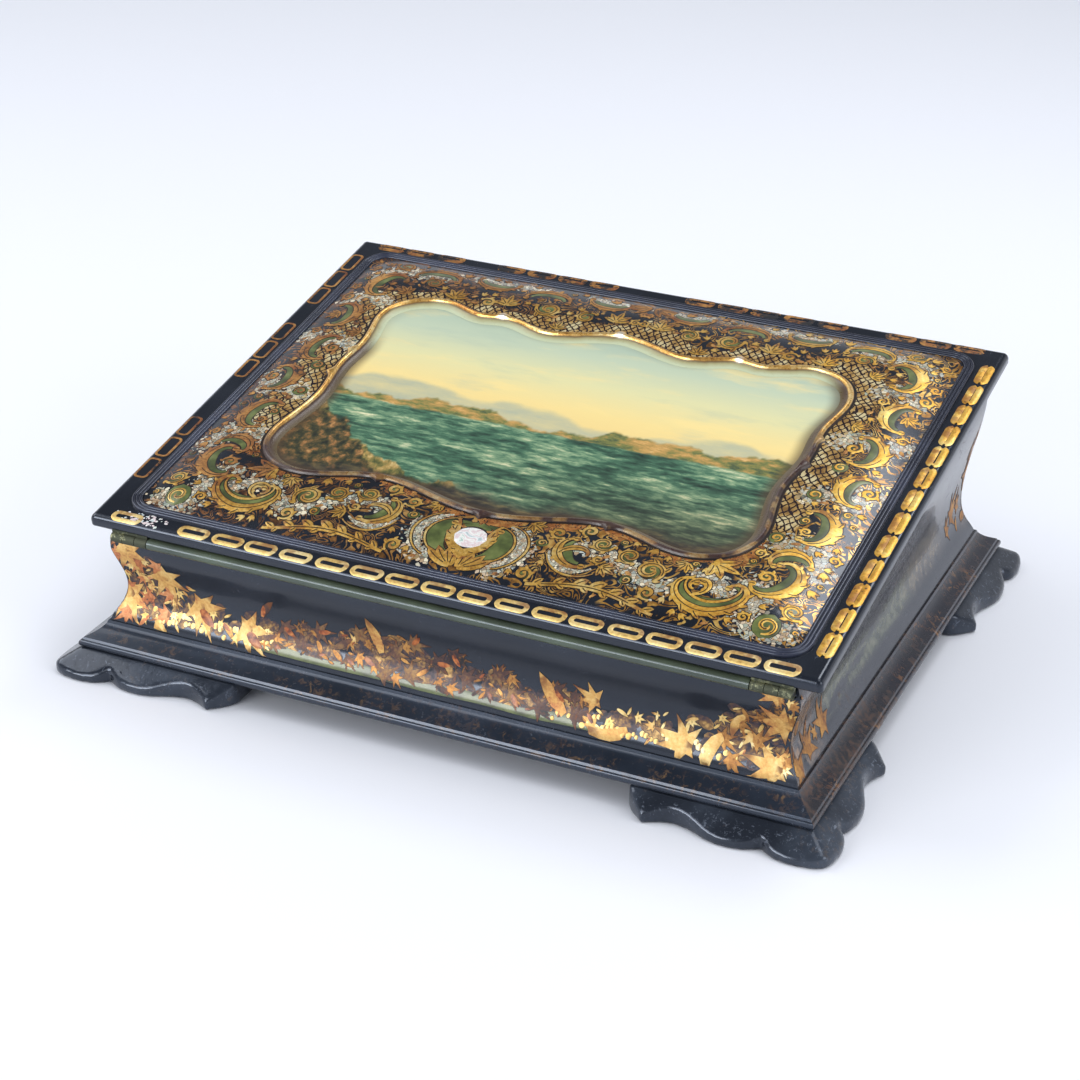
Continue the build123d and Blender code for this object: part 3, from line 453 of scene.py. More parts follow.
# Each patch has its place along the wall and up it, its strength, its tones and its grain. The one at the
# front corner is rubbed paint.
PALE_PATCHES = [
    ((-112, -84, 24, 60), (31, 36, 44, 52), 0.75, ("#454a3d", "#666a56", "#7d7c66"), (1, 0.2, 1)),
    ((10, 66, 70, 112), (30, 40, 44, 62), 0.62, ("#5c5344", "#857862", "#b5a483"), (1, 2.2, 0.6)),
    (
        (-160, -152, -136, -92), (24, 27, 50, 84), 0.85, ("#5f5147", "#8f7c6b", "#c29a72"),
        (1, 0.9, 0.6),
    ),
    ((112, 142, 150, 160), (28, 38, 70, 104), 0.6, ("#6a5a4c", "#94806b", "#bfa888"), (1, 1.2, 0.5)),
]
for patch in PALE_PATCHES:
    pale_patch(side_lacquer, *patch)
right_plinth_lacquer = lacquer_finish(
    "black_japan_lacquer_rubbed_plinth", "#24232a", "#5a4335", 0.49, 0.8, 0.2, "#33302f")
ghost_border(right_plinth_lacquer, 13, 25, 0.9, ("#453129", "#6d4e38", "#9a7040"))
print("rubbed patches:", len(PALE_PATCHES))


# %% [markdown]
# ### Gold, paint and pearl
# Leaf is bright and even, bronze powder is browner and dull. One finish serves both, with
# its own tones and wear. Shell could be single chips; a pattern of cells with a random
# tint in each gives as many flakes and costs no faces.

# %% Gold leaf and bronze powder
def gilding(name, tones, worn_low, worn_high, metal=0.7, rough=0.36):
    """Leaf on size: pale to brown, shaded with asphaltum lines and rubbed to the lacquer."""
    material, tree, shader, place = new_material(name)
    across = add(tree, "SeparateXYZ", add(tree, "UVMap", uv_map="UVMap"))
    side = add(tree, "Math", across.outputs["X"], 1.25, **TIMES)
    broad = add(tree, "TexNoise", place, per_metre(16), 4, 0.6)
    grain = add(tree, "TexNoise", place, per_metre(1.6), 4, 0.65)
    mixed = add(
        tree, "Math", add(tree, "Math", broad, 0.62, **TIMES), add(tree, "Math", grain, 0.38, **TIMES),
        **PLUS)
    tone = add(tree, "ValToRGB", mixed, stops=[(0.36, tones[0]), (0.5, tones[1]), (0.64, tones[2])])
    shade = add(tree, "MapRange", side, 0.62, 0.98, **EASED)
    shade = add(
        tree, "Math", shade,
        add(tree, "MapRange", add(tree, "TexNoise", place, per_metre(5), 3), 0.36, 0.6, **EASED),
        **TIMES)
    tone = add(tree, "Mix", add(tree, "Math", shade, 0.8, **TIMES), tone, colour("#7a4320"), **TINTS)
    worn = add(tree, "MapRange", mixed, worn_high, worn_low, **EASED)
    plug(shader, {"Base Color": add(tree, "Mix", worn, tone, colour("#1b1b20"), **TINTS)})
    leaf = add(
        tree, "Math", 1.0,
        add(tree, "Math", worn, add(tree, "Math", shade, 0.6, **TIMES), operation="MAXIMUM"),
        operation="SUBTRACT")
    plug(shader, {
        "Metallic": add(tree, "Math", leaf, metal, **TIMES),
        "Roughness": add(tree, "Math", grain, 0.3, rough - 0.1, **TIMES_PLUS),
        "Normal": add(tree, "Bump", {"Height": mixed, "Distance": 0.12 * MM, "Strength": 0.6}),
    })
    return material


# Leaf shines yellow and bronze powder is redder and rubbed. On the lid the bright yellow leaf on the
# right is painted light and the orange bronze on the left painted shade.
gold_leaf = gilding("gold_leaf", ("#a8752f", "#dcae55", "#f0d690"), 0.34, 0.39)
bright_gold = gilding("bright_yellow_gold_leaf", ("#c48a30", "#eab84f", "#f8dd8d"), 0.33, 0.37, 0.6, 0.34)
orange_bronze = gilding("orange_bronze_powder", ("#6f4629", "#ad7a42", "#d3a25c"), 0.38, 0.44, 0.5, 0.42)
rubbed_bronze = gilding("rubbed_bronze_powder", ("#5d3d28", "#9a6a38", "#c69250"), 0.47, 0.54, 0.5, 0.45)
pale_gold = gilding("pale_silver_gold_leaf", ("#c39a52", "#e8c87e", "#f5e3ae"), 0.33, 0.38, 0.55, 0.42)

# %% Dark outline, olive ground and pearl
# Asphaltum is a brown-black varnish: it lifts each gilt form off its ground.
ink, tree, shader, place = new_material("asphaltum_outline")
plug(shader, {
    "Base Color": add(
        tree, "ValToRGB", add(tree, "TexNoise", place, per_metre(6), 4),
        stops=[(0.4, "#120e0c"), (0.65, "#2e1d13")]),
    "Roughness": 0.35,
})

# The green paint is mottled by the gold size under it and looks wet and deep.
olive_ground, tree, shader, place = new_material("olive_green_paint")
tone = add(
    tree, "ValToRGB", add(tree, "TexNoise", place, per_metre(9), 4),
    stops=[(0.35, "#39421f"), (0.5, "#4f5b2c"), (0.66, "#6b7440")])
plug(shader, {
    "Base Color": tone,
    "Normal": add(tree, "Bump", {
        "Height": add(tree, "TexNoise", place, per_metre(1.4), 3),
        "Distance": 0.05 * MM,
        "Strength": 0.6,
    }),
    "Roughness": 0.32,
    "Coat Weight": 0.4,
    "Coat Roughness": 0.08,
})


def pearl_tone(tree, place, flake_mm):
    """Random flakes of shell: grey white, rose and sea green, each with its own tilt."""
    inputs = {"Vector": place, "Scale": per_metre(flake_mm), "Randomness": 1.0}
    cells = add(tree, "TexVoronoi", inputs)
    pick_one = add(tree, "SeparateColor", cells.outputs["Color"])
    stops = [
        (0.0, "#5c564a"), (0.2, "#bdb7a4"), (0.36, "#8d9788"), (0.5, "#dcd3b8"),
        (0.64, "#b39a80"), (0.78, "#8a7650"), (0.9, "#b7bcb4"), (1.0, "#4c524b"),
    ]
    tone = add(tree, "ValToRGB", pick_one.outputs[0], stops=stops)
    edge = add(tree, "TexVoronoi", inputs, feature="DISTANCE_TO_EDGE").outputs["Distance"]
    return tone, edge, pick_one.outputs[1]


# Nacre lies in wavy layers of rose, white and sea green, so it glows softly.
whole_pearl, tree, shader, place = new_material("mother_of_pearl")
layers = add(tree, "TexNoise", place, per_metre(7), 3, 0.5, {"Distortion": 1.4})
stops = [(0.3, "#a9b7bb"), (0.42, "#dfe3e2"), (0.5, "#cfb9bc"), (0.58, "#e2e4e0"), (0.7, "#97b3aa")]
plug(shader, {
    "Base Color": add(tree, "ValToRGB", layers, stops=stops),
    "Roughness": 0.16,
    "Coat Weight": 0.6,
    "Coat Roughness": 0.05,
    "Normal": add(tree, "Bump", {"Height": layers, "Distance": 0.2 * MM, "Strength": 0.5}),
})

# Crushed shell is flakes of 1.3 mm with dark glue between them: a bright sparkle.
crushed_pearl, tree, shader, place = new_material("crushed_mother_of_pearl")
shell, shell_edge, chance = pearl_tone(tree, place, 1.3)
seams = add(tree, "MapRange", shell_edge, 0.02, 0.07, **EASED)
plug(shader, {
    "Base Color": add(tree, "Mix", seams, colour("#3a3226"), shell, **TINTS),
    "Roughness": 0.25,
    "Normal": add(tree, "Bump", {"Height": seams, "Distance": 0.08 * MM, "Strength": 0.6}),
})

# %% [markdown]
# ## The field
# The field swells like a cushion from the reeds up to the picture's rim. It is modelled
# as rings that pass from one outline to the other, so its shine runs without a break.
# Three masks lie in its points: where the pearl flakes are strewn, where the gold net
# lies and where the bronze shading clings to the rim.


# %% Rings of points made into a skin
def skin(name, rings, material, closed=True, capped=False):
    """Bridges rings of points, each with as many points, into one smooth skin."""
    mesh = bpy.data.meshes.new(name)
    count = len(rings[0])
    points = [p for ring in rings for p in ring]
    faces = []
    for row in range(len(rings) - 1):
        for i in range(count if closed else count - 1):
            a, b = row * count + i, row * count + (i + 1) % count
            faces.append((a, b, b + count, a + count))
    if capped:
        faces.append(tuple(reversed(range(count))))
        faces.append(tuple(range(len(points) - count, len(points))))
    mesh.from_pydata(points, [], faces)
    mesh.materials.append(material)
    piece = bpy.data.objects.new(name, mesh)
    bpy.context.scene.collection.objects.link(piece)
    pick(piece)
    bpy.ops.object.mode_set(mode="EDIT")
    bpy.ops.mesh.select_all(action="SELECT")
    bpy.ops.mesh.normals_make_consistent(inside=False)
    bpy.ops.object.mode_set(mode="OBJECT")
    bpy.ops.object.shade_smooth_by_angle(angle=math.radians(35))
    return piece


def float_layer(piece, name, values):
    layer = piece.data.attributes.new(name, "FLOAT", "POINT")
    layer.data.foreach_set("value", values)


# %% Masks of pearl, net and bronze
def near_path(u, v, path):
    """Distance to a broken line of (u, v) points, in millimetres."""
    best = 1e9
    for (au, av), (bu, bv) in zip(path, path[1:]):
        du, dv = bu - au, bv - av
        share = ((u - au) * du + (v - av) * dv) / (du * du + dv * dv)
        share = min(max(share, 0), 1)
        best = min(best, math.hypot(u - au - du * share, v - av - dv * share))
    return best


# Bands of strewn pearl, as (half width, points), drawn for the right half of the lid.
PEARL_BANDS = [
    (4.2, [(52, -97), (62, -94), (74, -98), (84, -107), (96, -113), (104, -108)]),
    (5.5, [(140, -96), (146, -104), (142, -116), (150, -124), (163, -122)]),
    (4.5, [(112, -97), (122, -100), (130, -106)]),
    (4.0, [(22, -98), (28, -106), (26, -118), (18, -124)]),
    (5.0, [(140, -62), (150, -56), (158, -62), (164, -76)]),
    (4.5, [(139, -20), (148, -14), (160, -18), (166, -6)]),
    (4.5, [(138, 30), (146, 36), (158, 30), (167, 38)]),
    (4.5, [(142, 78), (152, 84), (163, 78)]),
    (4.0, [(118, 118), (132, 112), (146, 116), (160, 108)]),
    (3.2, [(60, 119), (74, 122), (88, 118), (102, 121)]),
    (3.0, [(6, 121), (20, 119), (34, 122)]),
]


def pearl_share(u, v):
    return max(1 - near_path(abs(u), v, path) / (2.7 * half) for half, path in PEARL_BANDS)


def net_share(u, v):
    """The gold net lies against the rim on the two sides and along the top."""
    gap = rim_distance(u, v)
    reach = 20 + 5 * math.sin(u * 0.11) + 3 * math.sin(v * 0.17 + 1)
    side = min(max((v + 66) / 14, 0), 1)
    return side * min(max((reach - gap) / 5, 0), 1)


def bronze_share(u, v):
    gap = rim_distance(u, v)
    reach = 11 + 4 * math.sin(u * 0.21)
    return min(max((-v - 50) / 20, 0), 1) * min(max((reach - gap) / 5, 0), 1)


print("pearl bands in each half:", len(PEARL_BANDS))


# %% Field skin
FIELD_ROWS = 30


def field_edge(angle):
    """Where a ray from the picture's middle leaves the field's rounded rectangle."""
    du, dv = math.cos(angle), math.sin(angle)
    near, far = 60.0, 260.0
    for _ in range(26):
        middle = (near + far) / 2
        u, v = PICTURE_U + du * middle, PICTURE_V + dv * middle
        if depth_inside(u, v, FIELD_HALF_U, FIELD_HALF_V, FIELD_CORNER) > 0:
            near = middle
        else:
            far = middle
    return Vector((PICTURE_U + du * near, PICTURE_V + dv * near))


outer_edge = [field_edge(2 * math.pi * i / OUTLINE_STEPS) for i in range(OUTLINE_STEPS)]
flat = [
    [p.lerp(q, row / FIELD_ROWS) for p, q in zip(outer_edge, outline)]
    for row in range(FIELD_ROWS + 1)
]
rings = [[on_lid(p.x, p.y, 0) for p in outer_edge]]
rings += [[on_lid(p.x, p.y, cushion(p.x, p.y)) for p in ring] for ring in flat]
field_points = [outer_edge] + flat
print("field rings:", len(rings), "points:", len(rings) * OUTLINE_STEPS)


# %% Field finish
LATTICE_PITCH = 3.3


def field_finish():
    """Black lacquer that shows pearl flakes, gold net and bronze where the masks say."""
    material = lacquer_finish("black_japan_lacquer_field", "#14161b", "#33261e", 0.66, 0.4, 0.16)
    tree, shader, place, tone = reopened(material)
    pearl_mask = add(tree, "Attribute", attribute_name="pearl").outputs["Fac"]
    net_mask = add(tree, "Attribute", attribute_name="net").outputs["Fac"]
    bronze_mask = add(tree, "Attribute", attribute_name="bronze").outputs["Fac"]

    def contour_lines(size_mm, lines, thin, thick):
        """Lines of equal height of a soft noise curl as quick brushwork does."""
        hills = add(
            tree, "Math",
            add(tree, "TexNoise", place, per_metre(size_mm), 1.5, 0.5, {"Distortion": 1.0}), lines,
            **TIMES)
        saw = add(
            tree, "Math",
            add(tree, "Math", add(tree, "Math", hills, operation="FRACT"), 0.5, operation="SUBTRACT"),
            operation="ABSOLUTE")
        return add(tree, "MapRange", saw, thick, thin, **EASED)

    # Painted shade and light: the gold curls run from dull brown on the left to warm bright gold on the
    # right.
    across = add(tree, "SeparateXYZ", place).outputs["X"]
    rightwards = add(tree, "MapRange", across, -0.15, 0.12, **EASED)
    open_ground = add(
        tree, "MapRange", add(tree, "TexNoise", place, per_metre(15), 2), 0.38, 0.46, **EASED)
    curls = add(tree, "Math", contour_lines(15, 13, 0.17, 0.24), open_ground, **TIMES)
    curls = add(
        tree, "Math", curls,
        add(tree, "MapRange", add(tree, "TexNoise", place, per_metre(3.2), 3, 0.7), 0.36, 0.46, **EASED),
        **TIMES)
    dull = add(
        tree, "ValToRGB", add(tree, "TexNoise", place, per_metre(7), 3),
        stops=[(0.35, "#4d3322"), (0.5, "#865a37"), (0.66, "#b58350")])
    warm = add(
        tree, "ValToRGB", add(tree, "TexNoise", place, per_metre(7), 3),
        stops=[(0.35, "#7c5424"), (0.5, "#bf8b3d"), (0.66, "#e2bb68")])
    tone = add(tree, "Mix", curls, tone, add(tree, "Mix", rightwards, dull, warm, **TINTS), **TINTS)

    speckle = add(tree, "TexNoise", place, per_metre(4), 4, 0.7)
    mottle = add(
        tree, "Math", bronze_mask, add(tree, "Math", speckle, 1.8, -1.15, **TIMES_PLUS), **PLUS)
    bronze = add(
        tree, "ValToRGB", add(tree, "TexNoise", place, per_metre(5), 4, 0.7),
        stops=[(0.3, "#6a3d20"), (0.5, "#b8743c"), (0.7, "#dfa55c")])
    mottle = add(
        tree, "Math", add(tree, "MapRange", mottle, 0.4, 0.52, **EASED),
        contour_lines(7, 9, 0.34, 0.42), **TIMES)
    tone = add(tree, "Mix", mottle, tone, bronze, **TINTS)

    def lattice_line(across, along):
        """Distance to the nearest of a set of slanting lines, as a share of their pitch."""
        split = add(tree, "SeparateXYZ", place)
        slant = add(tree, "Math", split.outputs["X"], across / (LATTICE_PITCH * MM), **TIMES)
        slant = add(tree, "Math", split.outputs["Y"], along / (LATTICE_PITCH * MM), slant, **TIMES_PLUS)
        slant = add(
            tree, "Math", slant,
            add(tree, "Math", add(tree, "TexNoise", place, per_metre(11), 3, 0.6), 2.2, **TIMES),
            **PLUS)
        saw = add(
            tree, "Math",
            add(tree, "Math", add(tree, "Math", slant, operation="FRACT"), 0.5, operation="SUBTRACT"),
            operation="ABSOLUTE")
        return add(tree, "Math", 0.5, saw, operation="SUBTRACT")

    mesh_edge = add(tree, "Math", lattice_line(0.8, 0.6), lattice_line(-0.8, 0.6), operation="MINIMUM")
    gold = add(
        tree, "ValToRGB", add(tree, "TexNoise", place, per_metre(9), 4),
        stops=[(0.34, "#9a7440"), (0.48, "#d3ab65"), (0.62, "#f3e2ae")])
    ragged = add(tree, "Math", add(tree, "TexNoise", place, per_metre(6), 3), 0.9, -0.45, **TIMES_PLUS)
    net_in = add(tree, "MapRange", add(tree, "Math", net_mask, ragged, **PLUS), 0.36, 0.42, **EASED)
    cells = add(tree, "Math", add(tree, "MapRange", mesh_edge, 0.1, 0.17, **EASED), net_in, **TIMES)
    under_net = add(tree, "Mix", net_in, tone, colour("#241819"), **TINTS)
    tone = add(tree, "Mix", cells, under_net, gold, **TINTS)

    shell, shell_edge, chance = pearl_tone(tree, place, 1.9)
    strewn = add(tree, "Math", pearl_mask, add(tree, "Math", chance, 0.5, -0.3, **TIMES_PLUS), **PLUS)
    flakes = add(
        tree, "Math", add(tree, "MapRange", strewn, 0.48, 0.5, **EASED),
        add(tree, "MapRange", shell_edge, 0.03, 0.07, **EASED), **TIMES)
    tone = add(tree, "Mix", flakes, tone, shell, **TINTS)
    plug(shader, {"Base Color": tone})
    gilt = add(
        tree, "Math", cells, add(tree, "Math", curls, mottle, operation="MAXIMUM"), operation="MAXIMUM")
    gilt = add(tree, "Math", gilt, add(tree, "Math", 1.0, flakes, operation="SUBTRACT"), **TIMES)
    plug(shader, {"Metallic": add(tree, "Math", gilt, 0.5, **TIMES)})
    return material


field = skin("lid_field_cushion", rings, field_finish())
float_layer(field, "pearl", [pearl_share(p.x, p.y) for ring in field_points for p in ring])
float_layer(field, "net", [net_share(p.x, p.y) for ring in field_points for p in ring])
float_layer(field, "bronze", [bronze_share(p.x, p.y) for ring in field_points for p in ring])
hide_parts("lid_field")
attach(field, "lid")

# %% [markdown]
# ## The gilt rim
# A moulded bead frames the picture and a small cove leads down to the paint. Where two
# curves of the outline meet, the bead is pinched into a pointed knuckle.

# %% Rim with its knuckles
# Section of the bead and cove, as (outwards from the picture's edge, height).
RIM_SECTION = [
    (2.3, 5.0), (1.9, 5.5), (1.6, 6.1), (1.05, 6.7), (0.35, 6.95), (-0.35, 6.75), (-0.85, 6.15),
    (-1.2, 5.4), (-2.2, 4.6), (-3.6, 3.95), (-5.2, 3.35),
]
KNUCKLES = [
    (-72, 84), (-4, 88), (64, 84), (-133, 4), (-129, 26), (127, 4), (123, 26), (-64, -80),
    (58, -80), (-3, -88),
]
KNUCKLE_REACH, KNUCKLE_SWELL = 2.4, 1.5


def knuckle_share(p):
    nearest = min(math.hypot(p.x - u, p.y - v) for u, v in KNUCKLE_PLACES)
    return math.exp(-(nearest / KNUCKLE_REACH) ** 2)


KNUCKLE_PLACES = [min(outline, key=lambda p: math.hypot(p.x - u, p.y - v)) for u, v in KNUCKLES]


def rim_finish():
    """Gold on the bead only, dulled towards the bottom and the right; a dark line outside it, and painted
    shade, brown, on the cove down to the paint, paler along the top.
    """
    material = gilding(
        "burnished_gold_on_shaded_rim", ("#a8713a", "#e0ae5e", "#f7e0a4"), 0.26, 0.3, 0.8, 0.26)
    tree, shader, place, gold = reopened(material)
    across = add(tree, "SeparateXYZ", add(tree, "UVMap", uv_map="UVMap"))
    side = add(tree, "Math", across.outputs["X"], 1.25, 0.0, **TIMES_PLUS)
    wander = add(tree, "Math", add(tree, "TexNoise", place, per_metre(9), 4), 0.16, -0.08, **TIMES_PLUS)
    side = add(tree, "Math", side, wander, **PLUS)
    bead = add(
        tree, "Math", add(tree, "MapRange", side, 0.12, 0.2, **EASED),
        add(tree, "MapRange", side, 0.72, 0.62, **EASED), **TIMES)
    depth = add(tree, "SeparateXYZ", place).outputs["Y"]
    low_right = add(tree, "SeparateXYZ", place).outputs["X"]
    low_right = add(
        tree, "Math", add(tree, "MapRange", low_right, 0.11, 0.122, **EASED),
        add(tree, "MapRange", depth, 0.045, 0.02, **EASED), **TIMES)
    dulled = add(
        tree, "Math", add(tree, "MapRange", depth, -0.04, -0.07, **EASED), low_right,
        operation="MAXIMUM")
    rubbed = add(
        tree, "Math",
        add(tree, "MapRange", add(tree, "TexNoise", place, per_metre(13), 4), 0.42, 0.56, **EASED), 0.3,
        0.68, **TIMES_PLUS)
    bead = add(
        tree, "Math", bead,
        add(tree, "Math", 1.0, add(tree, "Math", dulled, rubbed, **TIMES), operation="SUBTRACT"),
        **TIMES)
    # Painted shade: the cove from the bead down to the paint is brown, lightening towards the paint, as
    # in the rim's shadow; along the top it is pale like the sky.
    shaded = add(
        tree, "ValToRGB", side,
        stops=[(0.1, "#2a191b"), (0.5, "#3d2a2b"), (0.8, "#4d3b2e"), (1.0, "#5f5236")])
    sky_edge = add(
        tree, "ValToRGB", side,
        stops=[(0.6, "#4a3322"), (0.7, "#6f5a3a"), (0.8, "#a5a077"), (0.95, "#b9c2a2")])
    east = add(tree, "SeparateXYZ", place).outputs["X"]
    along_top = add(
        tree, "Math", add(tree, "MapRange", depth, 0.03, 0.05, **EASED),
        add(tree, "MapRange", east, 0.124, 0.108, **EASED), **TIMES)
    shaded = add(tree, "Mix", along_top, shaded, sky_edge, **TINTS)
    tone = add(tree, "Mix", bead, shaded, gold, **TINTS)
    for knuckle in KNUCKLE_PLACES[:3]:
        distance = add(
            tree, "VectorMath", place, on_lid(knuckle.x, knuckle.y, 6.9),
            operation="DISTANCE").outputs["Value"]
        glint = add(
            tree, "Math", add(tree, "MapRange", distance, 3.2 * MM, 0.8 * MM, **EASED), 0.75, **TIMES)
        tone = add(tree, "Mix", glint, tone, colour("#f1ece0"), **TINTS)
    plug(shader, {"Base Color": tone, "Metallic": add(tree, "Math", bead, 0.75, **TIMES)})
    return material


rings = []
for out, height in RIM_SECTION:
    ring = []
    for p, n in zip(outline, outward):
        swell = knuckle_share(p)
        reach = out * (1 + KNUCKLE_SWELL * swell * (out > 0))
        spot = p + n * reach
        ring.append(on_lid(spot.x, spot.y, height + 0.5 * swell * (height > 6)))
    rings.append(ring)
rim = skin("picture_rim_gilt", rings, rim_finish())
uv = rim.data.uv_layers.new(name="UVMap")
for polygon in rim.data.polygons:
    for corner in polygon.loop_indices:
        vertex = rim.data.loops[corner].vertex_index
        row = vertex // OUTLINE_STEPS
        uv.data[corner].uv = (0.8 * row / (len(RIM_SECTION) - 1), vertex % OUTLINE_STEPS / OUTLINE_STEPS)
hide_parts("cartouche_rim")
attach(rim, "lid")

# %% [markdown]
# ## The picture
# The panel holds a small varnished landscape in oils. It is built up as a painter does:
# a warm sky first, then far hills, a lake, a wooded bank and the dark foreground, each
# one a layer whose upper edge is a soft random line.


# %% Picture finish
def picture_finish():
    """A generic lake and hills, in layers from the sky to the foreground."""
    material, tree, shader, place = new_material("varnished_oil_painting")
    uv = add(tree, "UVMap", uv_map="UVMap").outputs[0]
    brush = add(tree, "TexNoise", {"Vector": uv, "Scale": 26.0, "Detail": 5.0, "Roughness": 0.6})
    offset = add(
        tree, "VectorMath", brush.outputs["Color"], (0.5, 0.5, 0.5), operation="SUBTRACT")
    offset = add(tree, "VectorMath", offset, 0.02, operation="SCALE")
    uv = add(tree, "VectorMath", uv, offset, **PLUS).outputs[0]
    split = add(tree, "SeparateXYZ", uv)
    x, y = split.outputs["X"], split.outputs["Y"]

    def line(scale, seed, detail=3.0):
        """A random height along the picture."""
        spot = add(tree, "CombineXYZ", x, seed)
        inputs = {"Vector": spot, "Scale": scale, "Detail": detail, "Roughness": 0.55}
        return add(
            tree, "Math", add(tree, "TexNoise", inputs).outputs["Fac"], 0.5, operation="SUBTRACT")

    def stroke_noise(across, along, seed, detail=5.0):
        inputs = {"Vector": uv, "Scale": (across, along, 1), "Location": (seed, seed, 0)}
        spot = add(tree, "Mapping", inputs).outputs[0]
        inputs = {"Vector": spot, "Scale": 1.0, "Detail": detail, "Roughness": 0.62}
        return add(tree, "TexNoise", inputs).outputs["Fac"]

    def below(height, soft):
        return add(
            tree, "MapRange", add(tree, "Math", height, y, operation="SUBTRACT"), 0.0, soft, **EASED)

    sky = add(
        tree, "ValToRGB", y,
        stops=[
            (0.45, "#e6c983"), (0.58, "#e9d28c"), (0.72, "#d7d3a0"), (0.86, "#b9c6ac"),
            (1.0, "#a3b8a8")])
    clouds = add(tree, "MapRange", stroke_noise(3.2, 9, 4.0), 0.5, 0.72, **EASED)
    tone = add(tree, "Mix", add(tree, "Math", clouds, 0.6, **TIMES), sky, colour("#f0d88f"), **TINTS)
    haze = add(tree, "MapRange", stroke_noise(2.2, 6, 11.0), 0.52, 0.7, **EASED)
    tone = add(tree, "Mix", add(tree, "Math", haze, 0.4, **TIMES), tone, colour("#9fb3a4"), **TINTS)

    far = add(tree, "Math", line(2.6, 3.1), 0.34, 0.56, **TIMES_PLUS)
    far_tone = add(
        tree, "ValToRGB", stroke_noise(7, 14, 2), stops=[(0.35, "#8fa39a"), (0.65, "#c2bd92")])
    tone = add(tree, "Mix", add(tree, "Math", below(far, 0.03), 0.75, **TIMES), tone, far_tone, **TINTS)

    slope_down = add(tree, "Math", x, 0.06, 0.49, **TIMES_PLUS)
    middle = add(tree, "Math", line(3.4, 8.7, 5.0), 0.5, slope_down, **TIMES_PLUS)
    dabs = add(tree, "Math", stroke_noise(9, 18, 5), 0.5, **TIMES)
    dabs = add(tree, "Math", dabs, add(tree, "Math", stroke_noise(34, 48, 6), 0.5, **TIMES), **PLUS)
    middle_tone = add(
        tree, "ValToRGB", dabs,
        stops=[
            (0.38, "#3c4f38"), (0.46, "#74783f"), (0.53, "#a98a4a"), (0.59, "#c99c58"),
            (0.66, "#dcc489")])
    tone = add(tree, "Mix", below(middle, 0.015), tone, middle_tone, **TINTS)

    swell = add(tree, "Math", stroke_noise(5, 15, 7, 5.0), 0.55, **TIMES)
    swell = add(
        tree, "Math", swell, add(tree, "Math", stroke_noise(24, 62, 9, 4.0), 0.45, **TIMES), **PLUS)
    water = add(
        tree, "ValToRGB", swell,
        stops=[
            (0.34, "#15281f"), (0.43, "#2b4d3c"), (0.5, "#456f55"), (0.57, "#7d9c78"),
            (0.64, "#cfd0a6"), (0.7, "#ece4c0")])
    murk = add(
        tree, "Math", add(tree, "MapRange", y, 0.42, 0.05, **EASED),
        add(tree, "MapRange", x, 0.25, 0.85, **EASED), **TIMES)
    murky = add(
        tree, "ValToRGB", swell,
        stops=[(0.36, "#1d1c17"), (0.48, "#3a3528"), (0.58, "#5d5a3c"), (0.68, "#98905f")])
    water = add(tree, "Mix", add(tree, "Math", murk, 0.8, **TIMES), water, murky, **TINTS)
    shore = add(tree, "Math", line(4, 15.0), 0.05, 0.45, **TIMES_PLUS)
    tone = add(tree, "Mix", below(shore, 0.012), tone, water, **TINTS)

    bank = add(tree, "Math", add(tree, "MapRange", x, 0.5, -0.15, **EASED), 0.42, 0.04, **TIMES_PLUS)
    bank = add(tree, "Math", bank, add(tree, "Math", line(4.0, 23.0, 7.0), 0.5, **TIMES), **PLUS)
    dabs = add(tree, "Math", stroke_noise(10, 6, 9, 5.0), 0.5, **TIMES)
    dabs = add(
        tree, "Math", dabs, add(tree, "Math", stroke_noise(56, 22, 4, 5.0), 0.5, **TIMES), **PLUS)
    bank_tone = add(
        tree, "ValToRGB", dabs,
        stops=[
            (0.38, "#232513"), (0.45, "#434a26"), (0.5, "#6f6a36"), (0.56, "#a88a4c"),
            (0.64, "#dcc78c")])
    tone = add(tree, "Mix", below(bank, 0.012), tone, bank_tone, **TINTS)

    crowns = add(tree, "Math", add(tree, "MapRange", x, 0.42, 0.0, **EASED), 0.4, -0.02, **TIMES_PLUS)
    crowns = add(tree, "Math", crowns, add(tree, "Math", line(12, 30.0, 8.0), 0.3, **TIMES), **PLUS)
    crown_tone = add(
        tree, "ValToRGB", stroke_noise(60, 30, 13, 6.0),
        stops=[
            (0.34, "#1a1d12"), (0.46, "#35371f"), (0.55, "#65502a"), (0.62, "#96693a"),
            (0.72, "#bd9358")])
    tone = add(tree, "Mix", below(crowns, 0.02), tone, crown_tone, **TINTS)

    front = add(tree, "Math", line(6, 41.0, 6.0), 0.2, 0.13, **TIMES_PLUS)
    front_tone = add(
        tree, "ValToRGB", stroke_noise(20, 34, 17, 8.0),
        stops=[(0.34, "#171712"), (0.5, "#34302a"), (0.62, "#5a5138"), (0.74, "#8a7548")])
    tone = add(tree, "Mix", below(front, 0.06), tone, front_tone, **TINTS)

